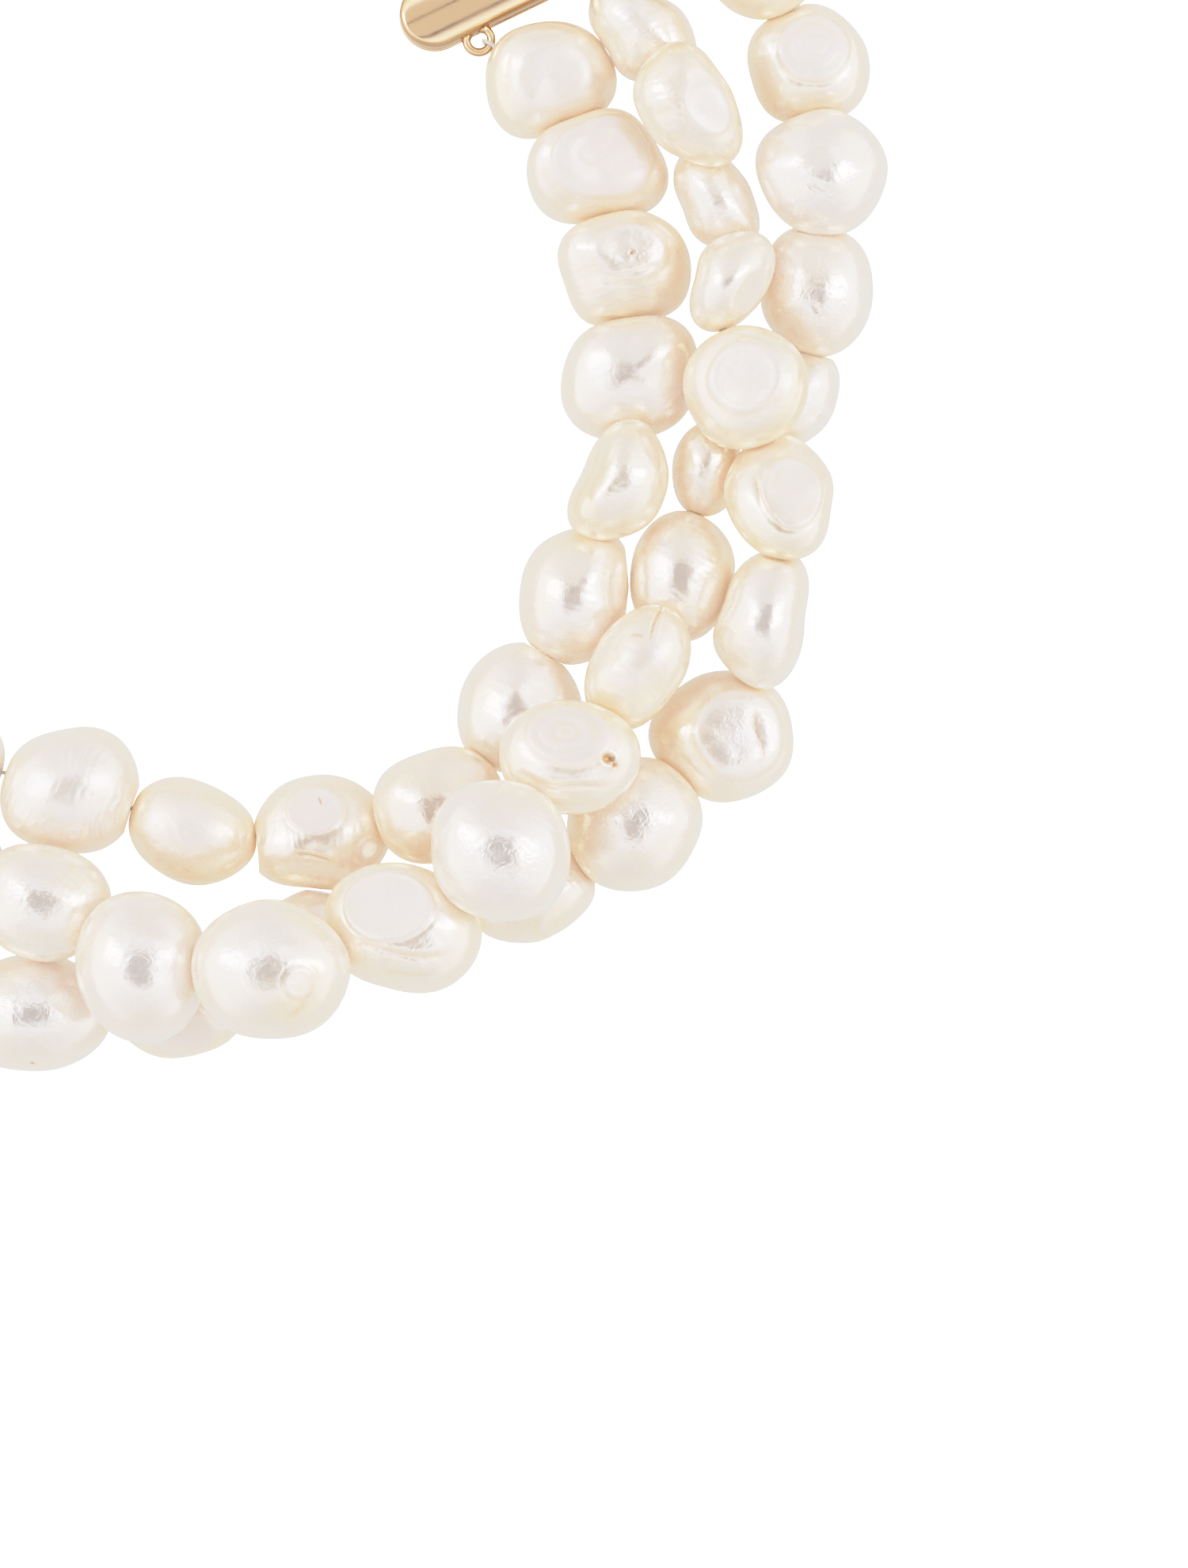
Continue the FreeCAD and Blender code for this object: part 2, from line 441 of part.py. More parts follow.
            ((-2.7513, 32.3352, 4.8497), (6.2964, 5.5004, 4.8453), (0.00075, -0.00058, 0.97593, -0.21809)),
            ((4.8885, 23.227, 5.0401), (6.1248, 4.3665, 5.04), (0.00112, 0.00435, -0.41812, 0.90838)),
            ((9.5874, 13.2193, 7.3817), (6.2041, 5.147, 4.9528), (-0.00047, 0.00362, 0.99327, -0.11574)),
        ],
    },
}

# Points where one pearl's drilled hole ends and the next one's begins: pearl n
# is drilled from joint n-1 to joint n, and the silk runs through the joints.
JOINTS = {
    "inner": [
        (-8.6814, -10.6388, 2.6965), (-2.0516, -17.3405, 4.6853), (1.321, -25.8649, 4.5955),
        (3.1616, -35.3611, 4.3469), (3.3389, -45.3564, 5.878), (-0.1345, -54.7409, 6.5475),
        (-3.8894, -66.244, 5.0619), (-10.1731, -75.7129, 6.3065), (-19.3073, -81.2657, 5.9377),
        (-30.9357, -82.5542, 4.6864), (-42.3344, -80.0409, 4.9493), (-53.8121, -76.7991, 4.7989),
        (-64.2606, -74.4839, 4.6835), (-76.4391, -70.7676, 4.5379), (-86.2389, -66.0, 4.3685),
        (-95.9128, -61.0431, 4.7587), (-105.2349, -52.2964, 4.4407), (-112.69, -43.6997, 4.4223),
        (-117.9651, -32.9535, 4.5657), (-120.4474, -22.6656, 4.4966),
        (-118.6211, -12.0572, 4.9546), (-116.3121, -1.1153, 4.984), (-109.798, 8.265, 4.6816),
        (-101.9892, 15.3471, 4.7187), (-93.1174, 21.7307, 4.9348), (-81.6198, 26.2567, 4.9276),
        (-70.8544, 27.5036, 5.1037), (-59.1576, 28.7365, 4.5301), (-48.4134, 25.773, 4.1481),
        (-37.3238, 22.8224, 4.4986), (-26.8839, 16.5996, 4.7652), (-19.8103, 8.0123, 4.1214),
        (-14.7307, -0.6773, 2.3699),
    ],
    "middle": [
        (2.2272, -5.2629, 2.4641), (6.806, -12.4159, 8.5312), (10.014, -20.6803, 7.7318),
        (12.9459, -28.3298, 6.8859), (11.785, -36.6896, 10.0612), (10.9775, -45.626, 7.5156),
        (9.435, -53.1022, 4.6821), (6.2811, -62.9508, 7.7566), (1.0737, -71.7551, 11.0954),
        (-5.5343, -79.0776, 14.6088), (-12.4339, -87.6844, 15.2227),
        (-23.1376, -92.3639, 15.4848), (-35.6064, -94.5097, 16.0057),
        (-45.3958, -90.9677, 11.168), (-54.7748, -86.7551, 6.766), (-64.4448, -85.2005, 4.4178),
        (-75.6663, -85.33, 4.3095), (-85.0426, -80.8115, 4.1371), (-94.6441, -77.5212, 4.2366),
        (-104.5058, -71.6369, 4.2936), (-112.5376, -64.2746, 4.0028),
        (-119.952, -57.0449, 4.1841), (-126.8277, -47.9124, 4.8115),
        (-131.5759, -36.7141, 4.5186), (-133.8253, -26.5064, 4.3633),
        (-134.3252, -15.2231, 4.2386), (-131.6831, -5.0525, 3.9452),
        (-127.8815, 5.5788, 4.1376), (-122.518, 15.8882, 4.1833), (-114.2022, 23.9356, 4.3923),
        (-104.6508, 30.4134, 4.3646), (-95.401, 36.5051, 4.1215), (-85.2974, 39.5629, 4.3795),
        (-74.7524, 41.3736, 4.8749), (-63.6035, 42.3029, 4.3664), (-53.1531, 41.9957, 4.2967),
        (-41.7916, 38.7675, 4.784), (-31.6388, 35.6184, 4.2903), (-21.6721, 29.9838, 4.0943),
        (-13.9392, 23.0149, 4.4565), (-6.3808, 14.6414, 5.2618), (-2.2396, 5.1881, 2.5178),
    ],
    "outer": [
        (14.3801, 0.8186, 2.6144), (17.6046, -7.2177, 5.2689), (20.3453, -16.9282, 5.5124),
        (20.7142, -27.163, 5.9768), (19.2614, -38.2362, 4.2783), (17.5047, -46.3758, 5.8703),
        (16.9793, -57.2036, 9.1098), (14.2266, -68.413, 6.1469), (7.7809, -77.401, 5.3877),
        (-1.2051, -84.9284, 5.3103), (-10.9963, -89.5537, 4.3574), (-21.5845, -91.4919, 4.071),
        (-31.7403, -94.631, 4.1237), (-44.3182, -98.2318, 4.6071), (-58.0596, -98.972, 4.9617),
        (-69.2157, -98.2019, 4.7403), (-80.3253, -97.0534, 4.4574), (-90.6118, -94.2469, 4.339),
        (-101.2086, -90.6138, 4.2585), (-109.945, -83.9848, 4.1172),
        (-119.3563, -78.363, 4.6052), (-127.805, -70.6033, 5.0961),
        (-134.9261, -61.7729, 4.9848), (-140.5816, -51.549, 4.8296),
        (-145.247, -41.4319, 4.6857), (-147.8958, -30.4095, 4.3833),
        (-148.7009, -19.7051, 4.5443), (-147.3272, -8.3914, 4.347), (-145.1067, 2.3967, 4.3513),
        (-140.4486, 13.1811, 4.2868), (-135.1698, 22.0082, 3.9831),
        (-128.5997, 30.4975, 4.0921), (-120.164, 38.4376, 4.3031),
        (-110.1876, 44.8036, 4.5668), (-100.068, 49.2388, 4.4118), (-89.4285, 53.0838, 4.1026),
        (-78.9144, 55.7011, 4.1136), (-68.2702, 56.0964, 4.2492), (-57.3309, 56.5179, 4.257),
        (-46.7713, 55.0225, 4.7711), (-35.3331, 52.5625, 5.0508), (-24.9366, 47.7702, 4.4141),
        (-15.5076, 43.2519, 3.9763), (-7.2629, 35.8431, 4.307), (0.9681, 28.0704, 4.9535),
        (7.7627, 17.9953, 6.1469), (10.1739, 10.9115, 2.7139),
    ],
}

# Flat sides of the button-shaped pearls, by row and pearl number: outward
# direction, and distance from the pearl's centre.
FACETS = {
    ("inner", 1): ((0.221, -0.2009, 0.9544), 3.553),
    ("inner", 2): ((0.273, -0.5954, 0.7556), 3.34),
    ("inner", 3): ((0.1347, -0.5821, 0.8019), 3.469),
    ("inner", 9): ((0.0503, 0.3518, 0.9347), 4.061),
    ("middle", 2): ((0.0995, 0.0, 0.995), 3.952),
    ("middle", 5): ((-0.099, 0.099, 0.9901), 3.67),
    ("middle", 11): ((-0.1198, 0.2196, 0.9682), 4.318),
    ("middle", 12): ((0.099, -0.099, 0.9901), 4.87),
    ("outer", 2): ((0.0, 0.0995, 0.995), 3.852),
    ("outer", 6): ((0.0, 0.0995, 0.995), 3.794),
    ("outer", 8): ((0.1483, 0.0, 0.9889), 4.25),
}

# Silk before and after the joints inside each segment.  Each b1 starts, and
# each t1 finishes, with a turn round its clasp ring's wire.
SILK_ENDS = {
    ("inner", "b1"): (
        [(-9.0618, -10.5598, 1.805), (-9.1074, -10.4642, 1.5311), (-9.2402, -10.3151, 1.3156),
         (-9.435, -10.1317, 1.1943), (-9.6564, -9.9389, 1.1873), (-9.8647, -9.7628, 1.2961),
         (-10.0225, -9.6271, 1.5034), (-10.1005, -9.5488, 1.7755), (-10.0825, -9.5354, 2.0683),
         (-9.968, -9.5839, 2.3344), (-9.7722, -9.6812, 2.5305), (-9.5237, -9.8061, 2.625),
         (-9.2598, -9.933, 2.6027), (-8.8026, -10.5038, 2.495), (-8.4668, -10.7451, 2.7679)],
        [(-64.3094, -74.473, 4.6829)]),
    ("inner", "b2"): ([(-64.6049, -74.3788, 4.6794)], [(-86.2838, -65.9781, 4.3677)]),
    ("inner", "b3"): ([(-86.5591, -65.8359, 4.3814)], [(-105.2713, -52.2622, 4.4395)]),
    ("inner", "b4"): ([(-105.4707, -52.0244, 4.4402)], [(-118.6126, -12.008, 4.9567)]),
    ("inner", "t4"): ([(-118.5468, -11.705, 4.9556)], [(-93.4096, 21.5205, 4.9277)]),
    ("inner", "t3"): ([(-93.164, 21.7124, 4.9348)], [(-59.5152, 28.6988, 4.5476)]),
    ("inner", "t2"): ([(-59.2058, 28.7498, 4.5318)], [(-27.1931, 16.7839, 4.7573)]),
    ("inner", "t1"): (
        [(-26.9157, 16.6381, 4.7681)],
        [(-14.8176, -0.4533, 2.4387), (-14.715, -1.2129, 2.5621), (-14.5585, -1.4561, 2.6132),
         (-14.4002, -1.6943, 2.5467), (-14.2603, -1.886, 2.3736), (-14.1561, -1.997, 2.1224),
         (-14.099, -2.0065, 1.8345), (-14.0925, -1.9103, 1.557), (-14.1323, -1.7213, 1.3357),
         (-14.206, -1.4678, 1.2069), (-14.2959, -1.1887, 1.1919), (-14.3818, -0.9267, 1.2932),
         (-14.4438, -0.7222, 1.4946), (-14.4663, -0.6058, 1.7634)]),
    ("middle", "b1"): (
        [(2.1656, -5.302, 1.8493), (2.2253, -5.2178, 1.5744), (2.25, -5.0322, 1.348),
         (2.2417, -4.774, 1.2083), (2.2077, -4.4838, 1.1789), (2.1595, -4.2073, 1.2657),
         (2.1111, -3.9883, 1.4552), (2.0763, -3.8609, 1.7176), (2.0668, -3.8443, 2.0107),
         (2.0901, -3.9396, 2.2875), (2.1485, -4.1296, 2.5037), (2.2383, -4.3816, 2.6249),
         (2.3508, -4.6528, 2.6321), (2.3271, -5.4407, 2.6087)],
        [(-64.4928, -85.1928, 4.4061)]),
    ("middle", "b2"): ([(-64.8048, -85.2046, 4.4143)], [(-94.6914, -77.505, 4.237)]),
    ("middle", "b3"): ([(-94.9532, -77.3368, 4.2383)], [(-119.9878, -57.01, 4.1849)]),
    ("middle", "b4"): ([(-120.1682, -56.7577, 4.2038)], [(-131.6706, -5.0042, 3.9439)]),
    ("middle", "t4"): ([(-131.5619, -4.7136, 3.9514)], [(-95.7016, 36.3071, 4.1294)]),
    ("middle", "t3"): ([(-95.4488, 36.4906, 4.1203)], [(-53.5129, 42.0062, 4.2991)]),
    ("middle", "t2"): ([(-53.2011, 42.0093, 4.2946)], [(-21.9854, 30.161, 4.1005)]),
    ("middle", "t1"): (
        [(-21.7092, 30.0173, 4.0926)],
        [(-2.2941, 5.3868, 2.6594), (-2.2845, 4.6226, 2.6063), (-2.1571, 4.3588, 2.5846),
         (-2.0364, 4.1275, 2.4499), (-1.936, 3.9683, 2.2244), (-1.8665, 3.9092, 1.9452),
         (-1.8333, 3.962, 1.6582), (-1.8358, 4.1198, 1.4106), (-1.8677, 4.3589, 1.2429),
         (-1.9179, 4.642, 1.183), (-1.972, 4.9248, 1.2408), (-2.0154, 5.1631, 1.407),
         (-2.035, 5.3197, 1.6547), (-2.0216, 5.371, 1.9436)]),
    ("outer", "b1"): (
        [(14.2271, 0.5665, 2.0582), (14.2704, 0.5716, 1.7677), (14.2822, 0.6881, 1.4984),
         (14.2669, 0.8988, 1.2943), (14.2327, 1.1709, 1.1891), (14.1915, 1.4615, 1.1999),
         (14.156, 1.7248, 1.3251), (14.1381, 1.9193, 1.5444), (14.1466, 2.0151, 1.8219),
         (14.1863, 1.998, 2.1124), (14.2567, 1.8726, 2.3685), (14.3523, 1.661, 2.5483),
         (14.4636, 1.3995, 2.6226), (14.4299, 0.6518, 2.7938)],
        [(-58.1096, -98.9747, 4.963)]),
    ("outer", "b2"): ([(-58.4187, -98.9473, 4.9546)], [(-101.2558, -90.5976, 4.2581)]),
    ("outer", "b3"): ([(-101.4953, -90.3962, 4.2538)], [(-134.9575, -61.734, 4.9843)]),
    ("outer", "b4"): ([(-135.1003, -61.4579, 4.9801)], [(-145.0966, 2.4456, 4.3513)]),
    ("outer", "t4"): ([(-144.964, 2.7272, 4.3493)], [(-100.3976, 49.0943, 4.4169)]),
    ("outer", "t3"): ([(-100.115, 49.2218, 4.4132)], [(-57.6907, 56.504, 4.2567)]),
    ("outer", "t2"): ([(-57.3804, 56.5249, 4.2545)], [(-15.832, 43.4073, 3.9913)]),
    ("outer", "t1"): (
        [(-15.5448, 43.2853, 3.9748)],
        [(10.1459, 11.0216, 2.9366), (10.087, 10.3129, 2.5968), (10.1878, 10.0693, 2.4674),
         (10.2707, 9.896, 2.2453), (10.3282, 9.8228, 1.9667), (10.357, 9.8634, 1.6773),
         (10.3584, 10.0126, 1.4242), (10.3384, 10.2475, 1.2491), (10.3062, 10.5312, 1.1804),
         (10.2732, 10.8189, 1.2294), (10.2509, 11.065, 1.388), (10.249, 11.2309, 1.6304),
         (10.2739, 11.2909, 1.9168), (10.3276, 11.2367, 2.2005)]),
}


# ---------------------------------------------------------------------- rows
def build_pearl(strand, number, shape, start, end):
    """Ellipsoid, flattened if it has a facet, drilled from start to end."""
    tag = "%s_%d" % (strand, number)
    centre, half, turn = shape
    body = prim("Ellipsoid", "pearl_" + tag, Placement(Vector(*centre), Rotation(*turn)),
                Radius2="dims.pearl_scale * %r" % half[0],
                Radius3="dims.pearl_scale * %r" % half[1],
                Radius1="dims.pearl_scale * %r" % half[2])
    if (strand, number) in FACETS:
        direction, reach = FACETS[(strand, number)]
        normal = Vector(*direction)
        tilt = Rotation(UP, normal)
        to_corner = Vector(-DIM["facet_side"] / 2, -DIM["facet_side"] / 2, 0)
        corner = Vector(*centre) + normal * reach + tilt.multVec(to_corner)
        block = prim("Box", "side_" + tag, Placement(corner, tilt),
                     Length="dims.facet_side", Width="dims.facet_side",
                     Height="dims.facet_thick")
        body = cut("button_" + tag, body, block)
    hole = prim("Cylinder", "hole_" + tag, Placement(start, Rotation(UP, end - start)),
                Radius="dims.bore_rad")
    hole.Height = (end - start).Length
    drilled = cut("drilled_" + tag, body, hole)
    drilled_pearls.append(drilled)
    return drilled


def build_silk(tag, points):
    """Round thread swept along straight runs between the points."""
    line = doc.addObject("Part::Polygon", "line_" + tag)
    line.Nodes = points
    line.Close = False
    section = prim("Circle", "section_" + tag,
                   Placement(points[0], Rotation(UP, points[1] - points[0])),
                   Radius="dims.silk_rad")
    silk = doc.addObject("Part::Sweep", "silk_" + tag)
    silk.Sections = [section]
    silk.Spine = (line, [])
    silk.Solid = True
    silk.Frenet = False
    silk.Transition = "Right corner"
    group(tag + "_thread", [silk])


def build_strand(strand):
    """One row: the pearls and the silk of each of its segments."""
    joints = [Vector(*point) for point in JOINTS[strand]]
    number = 0
    for segment, shapes in PEARLS[strand].items():
        tag = "%s_%s" % (strand, segment)
        first = number + 1
        pearls = []
        for shape in shapes:
            number += 1
            pearls.append(build_pearl(strand, number, shape,
                                      joints[number - 1], joints[number]))
        group(tag + "_pearls", pearls)
        lead, tail = [[Vector(*point) for point in points]
                      for points in SILK_ENDS[(strand, segment)]]
        build_silk(tag, lead + joints[first:number] + tail)


# --------------------------------------------------------------------- build
build_base()
build_cover()
build_rings("box_rings", "box_ring", "-1", "dims.clasp_half")
build_tongue_plate()
build_tongue_spring()
build_rings("tongue_rings", "tongue_ring", "1", "dims.plate_half")
build_thumb_tab(build_catch_leaf())
for strand_name in PEARLS:
    build_strand(strand_name)
doc.recompute()

# --------------------------------------------------------------------- write
for pearl in drilled_pearls:
    if len(pearl.Shape.Solids) != 1 or pearl.Shape.Volume < 0.9 * pearl.Base.Shape.Volume:
        raise RuntimeError("bad pearl: " + pearl.Name)
for obj in doc.Objects:
    if "Invalid" in obj.State or "Error" in obj.State:
        raise RuntimeError("bad state: %s %s" % (obj.Name, obj.State))
    if hasattr(obj, "Shape") and (obj.Shape.isNull() or not obj.Shape.isValid()):
        raise RuntimeError("bad shape: " + obj.Name)

os.makedirs("parts", exist_ok=True)
for node in nodes:
    node.Shape.exportStep("parts/%s.step" % node.Label)
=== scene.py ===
"""Three-strand pearl bracelet with a gold box clasp, lying flat on a white floor.

Z is up and the floor is just under z = 0. The clasp lies near the origin, its long side turned
25.8 degrees from +X. Each strand leaves the box of the clasp, runs towards -Y, round by -X
and back to the tongue. Sizes are millimetres, scaled by MM when meshes are made.
"""
import math
from collections import namedtuple

import bmesh
import bpy
import numpy as np
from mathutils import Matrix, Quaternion, Vector


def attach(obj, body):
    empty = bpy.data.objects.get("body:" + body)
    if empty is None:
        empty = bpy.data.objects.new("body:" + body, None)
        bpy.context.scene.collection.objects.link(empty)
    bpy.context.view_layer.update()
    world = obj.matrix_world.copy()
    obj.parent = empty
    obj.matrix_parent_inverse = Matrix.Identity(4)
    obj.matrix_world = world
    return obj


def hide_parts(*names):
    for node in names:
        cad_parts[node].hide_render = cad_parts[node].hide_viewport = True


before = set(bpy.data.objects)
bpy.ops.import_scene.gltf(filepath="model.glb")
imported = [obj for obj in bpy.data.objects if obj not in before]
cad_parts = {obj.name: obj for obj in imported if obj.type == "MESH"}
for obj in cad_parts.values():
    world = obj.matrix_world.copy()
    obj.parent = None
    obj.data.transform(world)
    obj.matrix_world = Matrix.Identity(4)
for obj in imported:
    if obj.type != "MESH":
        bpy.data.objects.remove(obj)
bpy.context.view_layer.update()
MM = 0.001

# ---------------------------------------------------------------- pearl tables
# Each strand is cut into eight segments, from the box (b1) to the tongue (t1).
SEGMENTS = ("b1", "b2", "b3", "b4", "t4", "t3", "t2", "t1")
SEGMENT_COUNTS = {
    "inner": (12, 2, 2, 4, 4, 3, 3, 2),
    "middle": (15, 3, 3, 5, 5, 4, 3, 3),
    "outer": (14, 4, 4, 6, 6, 4, 4, 4),
}
DETAILED_SEGMENT = "b1"   # this segment gets the finer meshes
FINE_GRID = (168, 112)    # points round each ring, rings from hole to hole
COARSE_GRID = (84, 56)


def table(text, width):
    """Rows of numbers written as text, as an array with the given number of columns."""
    return np.array(text.split(), float).reshape(-1, width)


